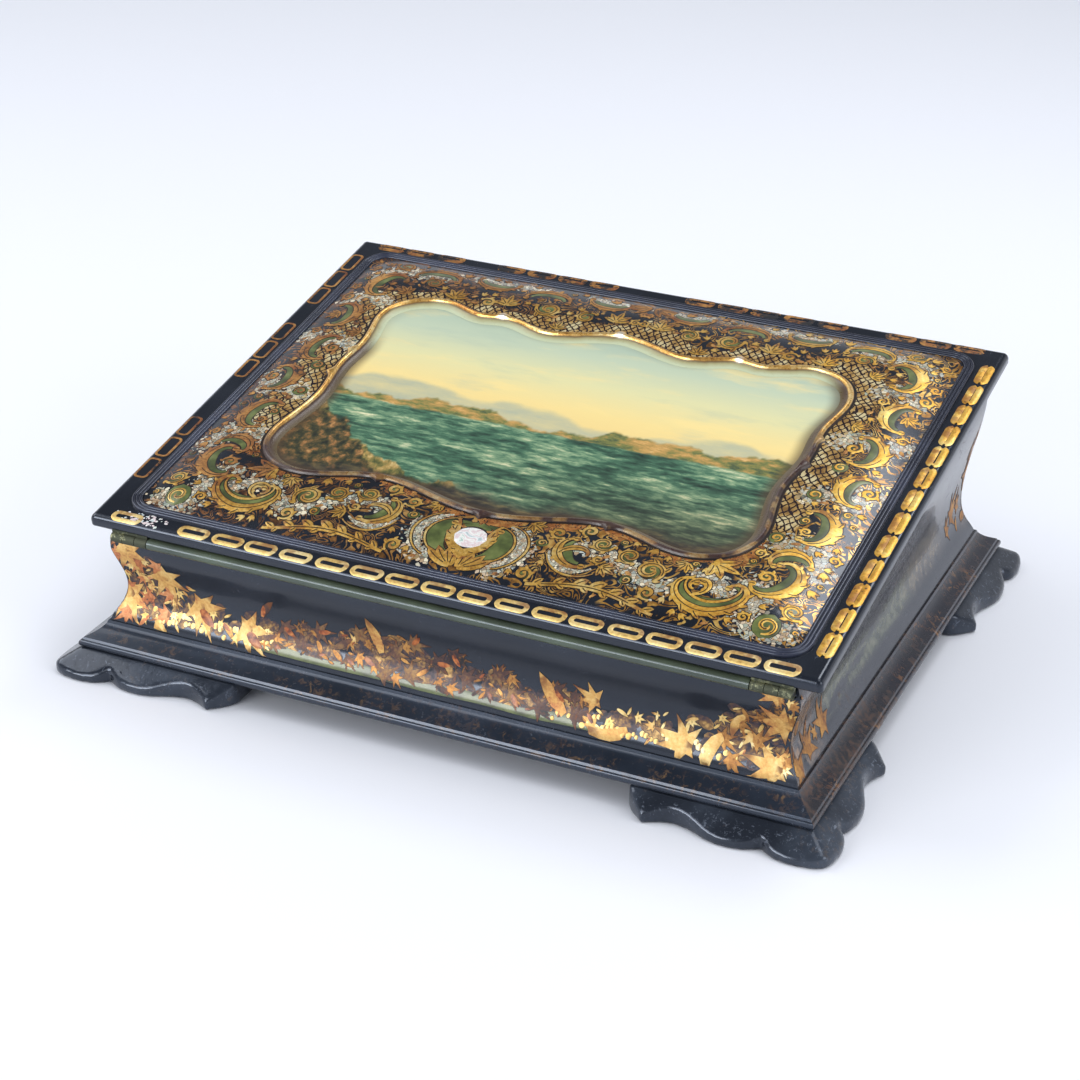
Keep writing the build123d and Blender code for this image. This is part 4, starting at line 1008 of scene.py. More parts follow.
    # Painted shade: the picture is darkened towards its edge, as in the rim's shadow, and less along the
    # top of the sky.
    edge = add(tree, "Attribute", attribute_name="edge").outputs["Fac"]
    painted_edge_shade = add(tree, "MapRange", edge, 0.55, 0.0, **EASED)
    in_sky = add(
        tree, "Math", add(tree, "MapRange", y, 0.66, 0.8, **EASED),
        add(tree, "MapRange", x, 0.97, 0.9, **EASED), **TIMES)
    painted_edge_shade = add(tree, "Math", painted_edge_shade, add(tree, "Math", in_sky, -0.8, 1.0, **TIMES_PLUS), **TIMES)
    tone = add(tree, "Mix", add(tree, "Math", painted_edge_shade, 0.7, **TIMES), tone, colour("#4d3a26"), **TINTS)
    plug(shader, {"Base Color": tone})
    ridges = add(
        tree, "Math", stroke_noise(90, 160, 23, 3.0),
        add(tree, "Math", brush.outputs["Fac"], 0.5, **TIMES), **PLUS)
    plug(shader, {
        "Normal": add(tree, "Bump", {"Height": ridges, "Distance": 0.18 * MM, "Strength": 0.45}),
        "Roughness": 0.34,
        "Coat Weight": 0.45,
        "Coat Roughness": 0.12,
    })
    return material


# %% Picture panel
PANEL_RINGS = (1.0, 0.985, 0.96, 0.92, 0.85, 0.7, 0.5, 0.3, 0.12)
PANEL_EDGE_HEIGHT, PANEL_CROWN, PANEL_INSIDE = 3.3, 0.5, 4.6
middle = Vector((PICTURE_U, PICTURE_V))
inner = [p - n * PANEL_INSIDE for p, n in zip(outline, outward)]
flat = [[middle.lerp(p, share) for p in inner] for share in PANEL_RINGS]
rings = [
    [on_lid(p.x, p.y, PANEL_EDGE_HEIGHT + PANEL_CROWN * (1 - share ** 2)) for p in ring]
    for share, ring in zip(PANEL_RINGS, flat)
]
picture = skin("picture_panel_painted", rings, picture_finish())
pick(picture)
bpy.ops.object.mode_set(mode="EDIT")
bpy.ops.mesh.select_all(action="DESELECT")
bpy.ops.object.mode_set(mode="OBJECT")
for vertex in list(picture.data.vertices)[-OUTLINE_STEPS:]:
    vertex.select = True
bpy.ops.object.mode_set(mode="EDIT")
bpy.ops.mesh.edge_face_add()
bpy.ops.object.mode_set(mode="OBJECT")
half_u = max(abs(p.x - PICTURE_U) for p in outline)
half_v = max(abs(p.y - PICTURE_V) for p in outline)
uv = picture.data.uv_layers.new(name="UVMap")
flat_points = [p for ring in flat for p in ring]
for loop in picture.data.loops:
    p = flat_points[loop.vertex_index]
    uv.data[loop.index].uv = (
        0.5 + (p.x - PICTURE_U) / (2 * half_u), 0.5 + (p.y - PICTURE_V) / (2 * half_v))
depths = [1 - share for share in PANEL_RINGS for _ in range(OUTLINE_STEPS)]
float_layer(picture, "edge", [min(d * 9, 1) for d in depths])
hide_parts("painted_panel")
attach(picture, "lid")

# %% [markdown]
# ## Walls of the case
# The four walls are one moulded tray with mitred corners: a hollow waist over the plinth
# and a swelling top. Each is modelled again as a run of sections between its two mitres,
# because even rows of faces carry a glossy reflection without a ripple.

# %% Wall sections
# Each point is (inset from the plinth's edge, height over the wall's foot).
PLINTH_HALF_X, PLINTH_HALF_Y, WALL_FOOT, WALL_INNER = 194.0, 153.5, 24.6, 26.0
LID_GAP = 0.4
FRONT_SECTION = [
    (12.2, 0.0), (12.5, 3.0), (14.3, 5.6), (16.6, 8.4), (18.4, 12.4), (19.3, 17.9),
    (18.7, 23.9), (17.0, 29.9), (15.1, 35.4), (13.7, 39.9), (13.8, 43.4), (15.5, 47.2),
    (17.0, 51.0),
]
BACK_SECTION = [
    (12.2, 0.0), (12.6, 2.8), (14.6, 5.4), (17.2, 9.0), (18.9, 14.4), (19.6, 22.9),
    (18.8, 34.4), (16.9, 46.4), (14.3, 58.9), (12.2, 71.4), (11.6, 81.4), (13.6, 89.0),
    (15.6, 95.0),
]
SECTION_STEPS = 60


def underside(y, w=0.0):
    """Height of the plane w below the lid at a depth y, in millimetres."""
    foot = lid_foot / MM
    return foot.z + (y - foot.y) * math.tan(SLOPE) + w / math.cos(SLOPE)


def eased(points, steps, passes):
    """The same broken line with even steps and soft turns."""
    line = [Vector(p) for p in points]
    lengths = [0.0]
    for a, b in zip(line, line[1:]):
        lengths.append(lengths[-1] + (b - a).length)
    spread = []
    k = 0
    for i in range(steps + 1):
        goal = lengths[-1] * i / steps
        while k < len(line) - 2 and lengths[k + 1] < goal:
            k += 1
        spread.append(line[k].lerp(line[k + 1], (goal - lengths[k]) / (lengths[k + 1] - lengths[k])))
    for _ in range(passes):
        middle = [(spread[i - 1] + spread[i] * 2 + spread[i + 1]) / 4 for i in range(1, steps)]
        spread = [spread[0], *middle, spread[-1]]
    return spread


def wall_section(points, y_sign):
    """Closed section at a front or back mitre, as (inset, height)."""
    rim = points[-1][0]
    top = underside(y_sign * (PLINTH_HALF_Y - rim), -LID_GAP)
    stretch = (top - WALL_FOOT) / points[-1][1]
    outer = eased([(inset, WALL_FOOT + up * stretch) for inset, up in points], SECTION_STEPS, 14)
    inner_top = underside(y_sign * (PLINTH_HALF_Y - WALL_INNER), -LID_GAP)
    return outer + [Vector((WALL_INNER, inner_top)), Vector((WALL_INNER, WALL_FOOT))]


front_mitre = wall_section(FRONT_SECTION, -1)
back_mitre = wall_section(BACK_SECTION, 1)


# %% Wall pieces
WALL_ROWS = 16


def corner_ring(section, x_sign, y_sign):
    return [
        Vector((x_sign * (PLINTH_HALF_X - p.x), y_sign * (PLINTH_HALF_Y - p.x), p.y)) * MM
        for p in section
    ]


def wall(name, node, start, end):
    rings = [[a.lerp(b, row / WALL_ROWS) for a, b in zip(start, end)] for row in range(WALL_ROWS + 1)]
    piece = skin(name, rings, black_lacquer, capped=True)
    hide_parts(node)
    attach(piece, "base")
    return piece


corners = {
    (sx, sy): corner_ring(front_mitre if sy < 0 else back_mitre, sx, sy)
    for sx in (-1, 1) for sy in (-1, 1)
}
front_wall = wall("front_wall_moulded", "wall_front", corners[-1, -1], corners[1, -1])
back_wall = wall("back_wall_moulded", "wall_back", corners[-1, 1], corners[1, 1])
left_wall = wall("left_wall_moulded", "wall_left", corners[-1, -1], corners[-1, 1])
right_wall = wall("right_wall_moulded", "wall_right", corners[1, -1], corners[1, 1])
right_wall.data.materials[0] = side_lacquer
print("walls: front", round(front_mitre[-2].y, 1), "back", round(back_mitre[-2].y, 1), "mm high")


# %% [markdown]
# ### Recesses
# The joiner let the hinge leaves and the lock into the walls with a chisel. A block of
# the same size is taken out here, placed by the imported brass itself.

# %% Recesses for hinges and lock
def block(x0, x1, y0, y1, low, high):
    """A cutter; low and high give the height at a depth y."""
    deselect()
    bpy.ops.mesh.primitive_cube_add(size=2)
    cutter = bpy.context.object
    for vertex in cutter.data.vertices:
        x = x1 if vertex.co.x > 0 else x0
        y = y1 if vertex.co.y > 0 else y0
        z = high(y) if vertex.co.z > 0 else low(y)
        vertex.co = Vector((x, y, z)) * MM
    return cutter


def carve(piece, cutter):
    """Takes the cutter's shape out of a piece and throws the cutter away."""
    cut = piece.modifiers.new("cut", "BOOLEAN")
    cut.operation = "DIFFERENCE"
    cut.solver = "EXACT"
    cut.object = cutter
    pick(piece)
    bpy.ops.object.modifier_apply(modifier=cut.name)
    bpy.data.objects.remove(cutter)
    bpy.ops.object.shade_smooth_by_angle(angle=math.radians(35))


bar_low, bar_high = (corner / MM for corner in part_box("front_bar"))
leaf_low, leaf_high = (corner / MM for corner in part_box("hinge_leaf_body_right"))
BAR_END_GAP, ROOM_ABOVE_BAR = 0.5, 20
carve(front_wall, block(
    -leaf_high.x - BAR_END_GAP, leaf_high.x + BAR_END_GAP, -PLINTH_HALF_Y, bar_high.y,
    lambda y: bar_low.z, lambda y: bar_high.z + ROOM_ABOVE_BAR))
LEAF_THICKNESS = 1.2
for x0, x1, sides in (
    (leaf_low.x, leaf_high.x, (front_wall, right_wall)),
    (-leaf_high.x, -leaf_low.x, (front_wall, left_wall)),
):
    for side in sides:
        carve(side, block(
            x0, x1, bar_high.y - 1, leaf_high.y,
            lambda y: underside(y, -LID_GAP - LEAF_THICKNESS), lambda y: underside(y, 2)))
LOCK_PLATE_THICKNESS = 1.2
plate_low, plate_high = (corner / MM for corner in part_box("lock_case"))
carve(back_wall, block(
    plate_low.x, plate_high.x, plate_low.y, plate_high.y,
    lambda y: underside(y, -LID_GAP - LOCK_PLATE_THICKNESS), lambda y: underside(y, 2)))
shield_low, shield_high = (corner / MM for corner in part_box("escutcheon"))
shield_z = (shield_low.z + shield_high.z) / 2
KEYHOLE_ROOM = 2.8
carve(back_wall, block(
    -KEYHOLE_ROOM, KEYHOLE_ROOM, plate_high.y, shield_high.y + 3,
    lambda y: shield_z - KEYHOLE_ROOM, lambda y: shield_z + KEYHOLE_ROOM))
print("faces of the carved front wall:", len(front_wall.data.polygons))

# %% [markdown]
# ## Brushwork
# The decorator drew each scroll in gold size with a loaded brush: it starts thin, swells
# and ends in a curl. Every stroke here is a curve with a lens-shaped section whose radius
# swells in the same way. The strokes are drawn flat, made a mesh and laid on the box.


# %% A brush and what it paints
def brush_section():
    """Half-width 1 and a low crown; the bottom is closed."""
    data = bpy.data.curves.new("brush_section", "CURVE")
    data.dimensions = "2D"
    spline = data.splines.new("POLY")
    section = [(-1, 0), (-0.62, 0.1), (0, 0.14), (0.62, 0.1), (1, 0), (0, -0.05)]
    spline.points.add(len(section) - 1)
    for point, (x, y) in zip(spline.points, section):
        point.co = (x, y, 0, 1)
    spline.use_cyclic_u = True
    section_piece = bpy.data.objects.new("brush_section", data)
    bpy.context.scene.collection.objects.link(section_piece)
    return section_piece


section_piece = brush_section()


def paint(name, strokes, material, wrap, body, lift=0.05, crown=1.0, closed=False):
    """Strokes as (points, half widths) become one mesh, laid on the box by wrap."""
    data = bpy.data.curves.new(name, "CURVE")
    data.dimensions = "3D"
    data.twist_mode = "Z_UP"
    data.bevel_mode = "OBJECT"
    data.bevel_object = section_piece
    data.use_fill_caps = not closed
    for points, widths in strokes:
        spline = data.splines.new("POLY")
        spline.points.add(len(points) - 1)
        for spot, (u, v), width in zip(spline.points, points, widths):
            spot.co = (u, v, 0, 1)
            spot.radius = max(width, 0.03)
        spline.use_cyclic_u = closed
    piece = bpy.data.objects.new(name, data)
    bpy.context.scene.collection.objects.link(piece)
    pick(piece)
    bpy.ops.object.convert(target="MESH")
    piece = bpy.context.object
    bpy.ops.object.mode_set(mode="EDIT")
    bpy.ops.mesh.select_all(action="SELECT")
    bpy.ops.mesh.normals_make_consistent(inside=False)
    bpy.ops.object.mode_set(mode="OBJECT")
    bpy.ops.object.shade_smooth_by_angle(angle=math.radians(60))
    for vertex in piece.data.vertices:
        u, v, z = vertex.co
        vertex.co = wrap(u, v, lift + z * crown)
    piece.data.materials.clear()
    piece.data.materials.append(material)
    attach(piece, body)
    print(name, "strokes:", len(strokes), "faces:", len(piece.data.polygons))
    return piece


# %% Curls, dots and leaf lobes
CURL_STEPS = 17


def half_curl(u, v, heading, reach, bend, end_bend):
    """Walks away from a point while its bend grows towards the end."""
    points = []
    step = reach / CURL_STEPS
    for i in range(CURL_STEPS + 1):
        points.append((u, v))
        share = (i + 0.5) / CURL_STEPS
        heading += math.radians((bend + (end_bend - bend) * share ** 3) * step)
        u += math.cos(heading) * step
        v += math.sin(heading) * step
    return points


def curl(u, v, heading, reach, bends, widths):
    """A scroll through (u, v): bends in degrees per mm and half widths at start, middle, end."""
    heading = math.radians(heading)
    back = half_curl(u, v, heading + math.pi, reach / 2, -bends[1], -bends[0])
    ahead = half_curl(u, v, heading, reach / 2, bends[1], bends[2])
    points = back[::-1] + ahead[1:]
    half = len(points) // 2
    sizes = []
    for i in range(len(points)):
        share = abs(i - half) / half
        end = widths[0] if i < half else widths[2]
        sizes.append(end + (widths[1] - end) * (0.5 + 0.5 * math.cos(math.pi * share)))
    return points, sizes


def dot(u, v, radius, long=1.0, heading=0.0):
    """A round or oval touch of the brush."""
    turn = math.radians(heading)
    points, sizes = [], []
    for i in range(9):
        share = -1 + i / 4
        points.append((
            u + math.cos(turn) * radius * long * share,
            v + math.sin(turn) * radius * long * share,
        ))
        sizes.append(radius * math.sqrt(max(1 - share * share, 0.0)))
    return points, sizes


def lobe(u, v, heading, reach, bend, width):
    """A pointed leaf lobe that leaves a stem and curls over."""
    points = half_curl(u, v, math.radians(heading), reach, bend, bend * 2)[::3]
    count = len(points) - 1
    sizes = [width * math.sin(math.pi * min(0.12 + 0.88 * i / count, 1)) ** 0.7 for i in range(count + 1)]
    return points, sizes


def spike(u, v, heading, reach, bend, width):
    """A sharp leaf point: widest near its stem and drawn out to nothing."""
    points = half_curl(u, v, math.radians(heading), reach, bend, bend * 2)[::3]
    count = len(points) - 1
    sizes = [width * min(1, 0.5 + 4 * i / count) * (1 - i / count) ** 1.1 for i in range(count + 1)]
    return points, sizes


def heading_at(points, i):
    (au, av), (bu, bv) = points[max(i - 1, 0)], points[min(i + 1, len(points) - 1)]
    return math.degrees(math.atan2(bv - av, bu - au))


def leafed(scroll, side, first, last, count, reach, width):
    """Lobes along one side of a scroll, between two shares of its length."""
    points, _ = scroll
    made = []
    for k in range(count):
        share = first + (last - first) * k / max(count - 1, 1)
        i = int(share * (len(points) - 1))
        size = 1 - 0.35 * abs(2 * k / max(count - 1, 1) - 1)
        made.append(lobe(
            *points[i], heading_at(points, i) + side * 48, reach * size, -side * 3.2, width * size))
    return made


def mirrored(strokes):
    return [([(-u, v) for u, v in points], sizes) for points, sizes in strokes]


# %% [markdown]
# ## Ornament of the lid
# The scheme is the same on the left and the right, as on most boxes of this kind: a
# medallion with a pearl in the middle of the front, C-scrolls that open towards the
# picture, leaves along the reeds and green grounds behind them. Small touches fill what
# is left of the black.

# %% Scrolls of the right half
gold, green, pearl_lines = [], [], []


def c_scroll(u, v, heading, reach, bends, widths, side=0, leaves=0, leaf_reach=9, backing=0.0):
    """A gold scroll with balls at its ends, leaves on one side and a green ground."""
    scroll = curl(u, v, heading, reach, bends, widths)
    gold.append(scroll)
    for place in (scroll[0][0], scroll[0][-1]):
        gold.append(dot(*place, 1.5 + widths[1] * 0.12))
    if leaves:
        gold.extend(leafed(scroll, side, 0.2, 0.8, leaves, leaf_reach, leaf_reach * 0.15))
    if backing:
        sign = -1 if bends[1] < 0 else 1
        turn = math.radians(heading + 90 * sign)
        cu, cv = u + math.cos(turn) * backing, v + math.sin(turn) * backing
        green.append(curl(
            cu, cv, heading, reach * 0.62, [b * 1.1 for b in bends], (0.8, backing * 0.62, 0.8)))
    return scroll


# Medallion at the front
green.append(curl(17, -107, 90, 38, (5, 4.6, 5), (0.8, 5.6, 0.8)))
green.append(([(0, -96), (3, -98), (7, -98)], [2.5, 3.2, 1.0]))
pearl_lines.append(curl(26.5, -107, 90, 40, (4.5, 3.4, 4.5), (0.7, 2.1, 0.7)))
gold.append(curl(22.6, -107, 90, 40, (5.5, 3.9, 5.5), (0.3, 0.55, 0.3)))
gold.append(curl(29.6, -107, 90, 42, (4.0, 3.2, 4.0), (0.3, 0.6, 0.3)))
flank = curl(8.5, -108, 68, 30, (-2, 3.2, -16), (2.6, 3.4, 0.7))
gold.append(flank)
gold.extend(leafed(flank, -1, 0.2, 0.7, 4, 7, 1.7))
gold.append(dot(12.2, -97.5, 1.7))
for heading, reach in ((12, 20), (30, 17), (52, 13), (78, 9)):
    gold.append(lobe(2, -126, heading, reach, 1.8, 2.5))
# Scroll beside the medallion
c_scroll(44, -104, -62, 34, (14, 4.2, 9), (0.7, 2.4, 0.9), -1, 3, 6, 4.5)
gold.append(curl(50, -97, 20, 22, (-8, -6, -30), (0.6, 1.8, 0.7)))
pearl_lines.append(curl(50, -113, -14, 30, (6, 3.6, 5), (0.6, 2.0, 0.6)))
gold.append(curl(51, -116, -14, 32, (5, 3.2, 5), (0.3, 0.6, 0.3)))
# Leaves along the front reed
stem = curl(70, -121, -2, 66, (1.2, -0.9, 1.8), (0.9, 1.5, 0.8))
gold.append(stem)
gold.extend(leafed(stem, 1, 0.06, 0.94, 7, 10, 2.4))
gold.extend(leafed(stem, -1, 0.1, 0.9, 6, 6, 1.7))
# Great scroll at the front corner
c_scroll(123, -120, 4, 78, (17, 2.6, 17), (0.8, 2.7, 0.9), -1, 8, 8.5, 5.4)
gold.append(curl(123, -113.5, 4, 50, (14, 3.4, 14), (0.4, 0.8, 0.4)))
gold.append(curl(118, -101, 150, 26, (4, 12, 26), (0.9, 2.0, 0.6)))
gold.extend(leafed(gold[-1], 1, 0.2, 0.7, 3, 6, 1.6))
# Corner and right side
c_scroll(157, -92, 68, 54, (15, 3.2, 15), (0.8, 3.0, 0.9), -1, 6, 8, 4.6)
c_scroll(146, -66, 200, 34, (10, 5.0, 18), (0.8, 2.4, 0.8), -1, 4, 7, 4.0)
c_scroll(160, -42, 96, 48, (13, 3.4, 13), (0.8, 3.0, 0.9), -1, 6, 8, 4.6)
c_scroll(150, -6, 84, 44, (-12, -3.8, -12), (0.8, 2.8, 0.9), 1, 5, 8, 4.4)
c_scroll(161, 26, 92, 44, (13, 3.6, 13), (0.8, 2.8, 0.9), -1, 5, 8, 4.4)
c_scroll(150, 62, 84, 42, (-12, -3.8, -12), (0.8, 2.8, 0.9), 1, 5, 8, 4.2)
c_scroll(158, 100, 110, 50, (14, 3.8, 14), (0.8, 3.0, 0.9), -1, 6, 8, 4.6)
# Back band
c_scroll(126, 122, 176, 40, (13, 3.2, 13), (0.7, 2.2, 0.8), -1, 4, 6, 3.8)
c_scroll(92, 112, 186, 36, (-12, -3.4, -12), (0.7, 2.0, 0.8), 1, 4, 6, 3.6)
c_scroll(58, 120, 178, 38, (13, 3.2, 13), (0.7, 2.2, 0.8), -1, 4, 6, 3.8)
c_scroll(24, 112, 182, 34, (-12, -3.4, -12), (0.7, 2.0, 0.8), 1, 4, 6, 3.6)
gold.extend([lobe(2, 124, heading, 14, 2.0, 2.0) for heading in (-20, -50, -78)])
print("right half:", len(gold), "gold strokes,", len(green), "green grounds")


# %% Spirals and fans of leaves
def spiral(u, v, radius, start, turn):
    """A stroke that winds inwards; turn is 1 or -1."""
    points, sizes = [], []
    for i in range(23):
        share = i / 22
        angle = math.radians(start + turn * 480 * share)
        reach = radius * (1 - 0.76 * share ** 0.8)
        points.append((u + math.cos(angle) * reach, v + math.sin(angle) * reach))
        sizes.append(radius * (0.05 + 0.16 * math.sin(math.pi * min(share + 0.04, 1)) ** 0.8))
    return points, sizes


def fan(u, v, radius, heading, count=5):
    """Leaf lobes that spread from a foot."""
    turn = math.radians(heading)
    foot_u, foot_v = u - math.cos(turn) * radius, v - math.sin(turn) * radius
    made = []
    for k in range(count):
        side = k - (count - 1) / 2
        reach = radius * (1.95 - 0.3 * abs(side))
        made.append(lobe(foot_u, foot_v, heading + 27 * side, reach, 1.6 * side, radius * 0.25))
    return made


# %% [markdown]
# ### Filling the ground
# Between the main scrolls the decorator filled the black with ever smaller motifs. They
# could be set one by one; here places are tried at random, large motifs first, and a set
# of taken squares keeps them apart.

# %% Packing the ground
PACK_SIZES = ((9.0, 500), (7.0, 900), (5.2, 1500), (3.8, 2500), (2.7, 3500))
taken = set()


def claim(u, v, radius):
    for a in range(int(u - radius), int(u + radius) + 1):
        for b in range(int(v - radius), int(v + radius) + 1):
            if math.hypot(a - u, b - v) <= radius + 0.5:
                taken.add((a, b))


def is_free(u, v, radius):
    for k in range(12):
        du, dv = math.cos(k * math.pi / 6) * radius, math.sin(k * math.pi / 6) * radius
        for share in (0.5, 1.0):
            if (int(u + du * share), int(v + dv * share)) in taken:
                return False
        inside = depth_inside(u + du, v + dv, FIELD_HALF_U - 1.5, FIELD_HALF_V - 1.5, FIELD_CORNER) > 0
        if not inside or rim_distance(u + du, v + dv) < 2.5:
            return False
    return net_share(u, v) < 0.7


for points, sizes in gold + green + pearl_lines:
    for (u, v), w in zip(points[::2], sizes[::2]):
        claim(u, v, w + 0.3)
random.seed(11)
packed = 0
for radius, tries in PACK_SIZES:
    for _ in range(tries):
        u = random.uniform(0, FIELD_HALF_U)
        v = random.uniform(-FIELD_HALF_V, FIELD_HALF_V)
        if not is_free(u, v, radius):
            continue
        packed += 1
        claim(u, v, radius * 0.86)
        heading = math.degrees(math.atan2(v, u)) + random.uniform(-70, 70)
        kind = random.random()
        if kind < 0.5 and radius > 3:
            turn = random.choice((-1, 1))
            scroll = spiral(u, v, radius * 0.86, heading, turn)
            gold.append(scroll)
            gold.append(dot(*scroll[0][-1], radius * 0.17))
            gold.extend(leafed(scroll, -turn, 0.03, 0.4, 4, radius * 0.75, radius * 0.16))
            green.append(dot(u, v, radius * 0.6))
        elif kind < 0.85:
            gold.extend(fan(u, v, radius, heading, 5 if radius > 4 else 3))
            if radius > 5:
                gold.append(dot(u, v, radius * 0.16))
        else:
            green.append(dot(u, v, radius * 0.7, 1.2, heading))
            gold.append(spiral(u, v, radius * 0.6, heading, 1))
print("packed motifs:", packed, "strokes of gold:", len(gold))

# %% Small touches that fill the black
TOUCHES = 2600
touches = []
for _ in range(TOUCHES):
    u = random.uniform(0, FIELD_HALF_U - 4)
    v = random.uniform(-FIELD_HALF_V + 3, FIELD_HALF_V - 3)
    if is_free(u, v, 1.9):
        turn = random.uniform(0, 360)
        touches.append(lobe(
            u, v, turn, random.uniform(3.5, 6), random.choice((-9, 9)), random.uniform(0.6, 1.2)))
        claim(u, v, 1.6)
print("touches:", len(touches))


# %% Strokes laid on the cushion
def on_cushion(u, v, rise):
    return on_lid(u, v, cushion(u, v) + rise)


def kept_inside(strokes):
    """The strokes without the points that would run over a reed or the rim."""
    made = []
    for points, sizes in strokes:
        pairs = [
            (p, w) for p, w in zip(points, sizes)
            if depth_inside(*p, FIELD_HALF_U, FIELD_HALF_V, FIELD_CORNER) > w and rim_distance(*p) > 2 + w
        ]
        if len(pairs) > 2:
            made.append(([p for p, _ in pairs], [w for _, w in pairs]))
    return made


def widened(strokes, by, least=0.0):
    return [(points, [w + by for w in sizes]) for points, sizes in strokes if max(sizes) > least]


def veins(strokes, least=1.05, width=0.24):
    """A dark line down the middle of the broad strokes."""
    made = []
    for points, sizes in strokes:
        if max(sizes) > least:
            cut = slice(max(len(points) // 8, 1), len(points) - max(len(points) // 5, 1))
            made.append((points[cut], [width] * len(points[cut])))
    return made


def where(strokes, kind):
    """The strokes of the dull left side and back, of the bright right side or of the rest; dull is
    painted shade and bright painted light.
    """
    chosen = []
    for points, sizes in strokes:
        u, v = points[len(points) // 2]
        dull = u < -118 and v > -100 or v > 108 and u < 60
        place = "left" if dull else "right" if u > 105 else "middle"
        if place == kind:
            chosen.append((points, sizes))
    return chosen


all_gold = kept_inside(gold + mirrored(gold))
all_touches = kept_inside(touches + mirrored(touches))
all_green = kept_inside(green + mirrored(green))
paint("lid_green_grounds", all_green, olive_ground, on_cushion, "lid", 0.03, 0.12)
paint(
    "lid_pearl_lines", pearl_lines + mirrored(pearl_lines), crushed_pearl, on_cushion, "lid",
    0.06, 0.5)
paint("lid_green_outlines", widened(all_green, 0.5), ink, on_cushion, "lid", 0.0, 0.06)
# The left and back strokes get the dull orange bronze as painted shade, the right ones the bright yellow
# leaf as painted light.
for side, finish in (("left", orange_bronze), ("middle", gold_leaf), ("right", bright_gold)):
    strokes = where(all_gold, side)
    paint(
        "lid_dark_outlines_" + side, widened(strokes, 0.5), ink, on_cushion, "lid",
        0.07, 0.1)
    paint("lid_gold_scrolls_" + side, strokes, finish, on_cushion, "lid", 0.12, 0.5)
paint("lid_gold_touches", all_touches, orange_bronze, on_cushion, "lid", 0.08, 0.9)
paint("lid_gold_veins", veins(all_gold), ink, on_cushion, "lid", 0.3, 0.3)
rim_line = [(p.x + n.x * 2.5, p.y + n.y * 2.5) for p, n in zip(outline, outward)]
paint(
    "rim_dark_line", [(rim_line, [0.75] * len(rim_line))], ink, on_cushion, "lid",
    0.05, 0.3, closed=True)
oval = [dot(0, -106, 7.6, 1.15)]
paint("lid_pearl_oval", oval, whole_pearl, on_cushion, "lid", 0.2, 1.0)
paint("lid_pearl_oval_edge", widened(oval, 1.0), ink, on_cushion, "lid", 0.12, 0.5)

# %% [markdown]
# ## The chain border
# A chain of gold rings runs round the margin and rolls over its rounded lip, so the rings are bent with
# it. The front rings are open and crisp; on the right the gold is thicker and the slot is narrow, on the
# left the line is thin; some links have worn away. The bright yellow rings on the right are painted light
# and the duller bronze rings on the left painted shade.

# %% Rings on the rounded margin
LIP_RADIUS = 3.2
REED_OUTER_U, REED_OUTER_V = 177.75, 135.7


def on_margin(along, out, side, rise):
    """along runs beside an edge and out leads away from the reeds and over the lip."""
    on_end = side in ("front", "back")
    flat_room = (LID_HALF_V - REED_OUTER_V if on_end else LID_HALF_U - REED_OUTER_U) - LIP_RADIUS
    turn = max(out - flat_room, 0) / LIP_RADIUS
    reach = min(out, flat_room) + (LIP_RADIUS + rise) * math.sin(turn)
    w = (LIP_RADIUS + rise) * math.cos(turn) - LIP_RADIUS
    if on_end:
        sign = -1 if side == "front" else 1
        return on_lid(along, sign * (REED_OUTER_V + reach), w)
    sign = -1 if side == "left" else 1
    return on_lid(sign * (REED_OUTER_U + reach), along, w)


def ring(centre, out, half_long, half_wide, corner, line):
    """A rounded link as a closed stroke."""
    points = []
    for sx, sy, start in ((1, 1, 0), (-1, 1, 90), (-1, -1, 180), (1, -1, 270)):
        for k in range(6):
            turn = math.radians(start + 18 * k)
            points.append((
                centre + sx * (half_long - corner) + corner * math.cos(turn),
                out + sy * (half_wide - corner) + corner * math.sin(turn),
            ))
    return points, [line] * len(points)


RING_PITCH, RING_OUT = 18.9, 6.0
SIDE_PITCH, SIDE_OUT = 20.0, 6.3
WORN_AWAY = {"front": (1,), "back": (3, 8, 9, 15), "left": (0, 4, 5, 9), "right": ()}
random.seed(3)
# The right rings take the bright yellow leaf as painted light, the left ones the orange bronze as painted
# shade.
for side, pitch, out, line, finish in (
    ("front", RING_PITCH, RING_OUT, 1.25, pale_gold),
    ("back", RING_PITCH, RING_OUT, 1.6, rubbed_bronze),
    ("right", SIDE_PITCH, SIDE_OUT, 1.85, bright_gold),
    ("left", SIDE_PITCH, SIDE_OUT, 0.7, orange_bronze),
):
    span = LID_HALF_U if side in ("front", "back") else LID_HALF_V - 6
    count = int((2 * span - 6) // pitch)
    links = []
    for k in range(count):
        if k in WORN_AWAY[side]:
            continue
        centre = (k - (count - 1) / 2) * pitch + random.uniform(-0.5, 0.5)
        gap = 0.35 if side == "right" else 0.9
        half_wide = 3.9 - line + random.uniform(-0.15, 0.15)
        links.append(ring(centre, out, pitch / 2 - gap - line, half_wide, 2.2, line))

    def wrap_side(along, out_at, rise, side=side):
        return on_margin(along, out_at, side, rise)

    crown = 0.4 if side == "back" else 0.9
    paint(
        "lid_chain_" + side, links, finish, wrap_side, "lid", 0.05, crown, closed=True)

# %% [markdown]
# ## Leaves on the walls
# Leaf sprays climb from the waist of the walls to the front corners and a darker garland
# hangs along the front. Each leaf is a star of lobes with a red-brown flush at its foot.


# %% Strokes on the walls
MITRE_ROOM, FRONT_HEIGHT = 0.4, 51


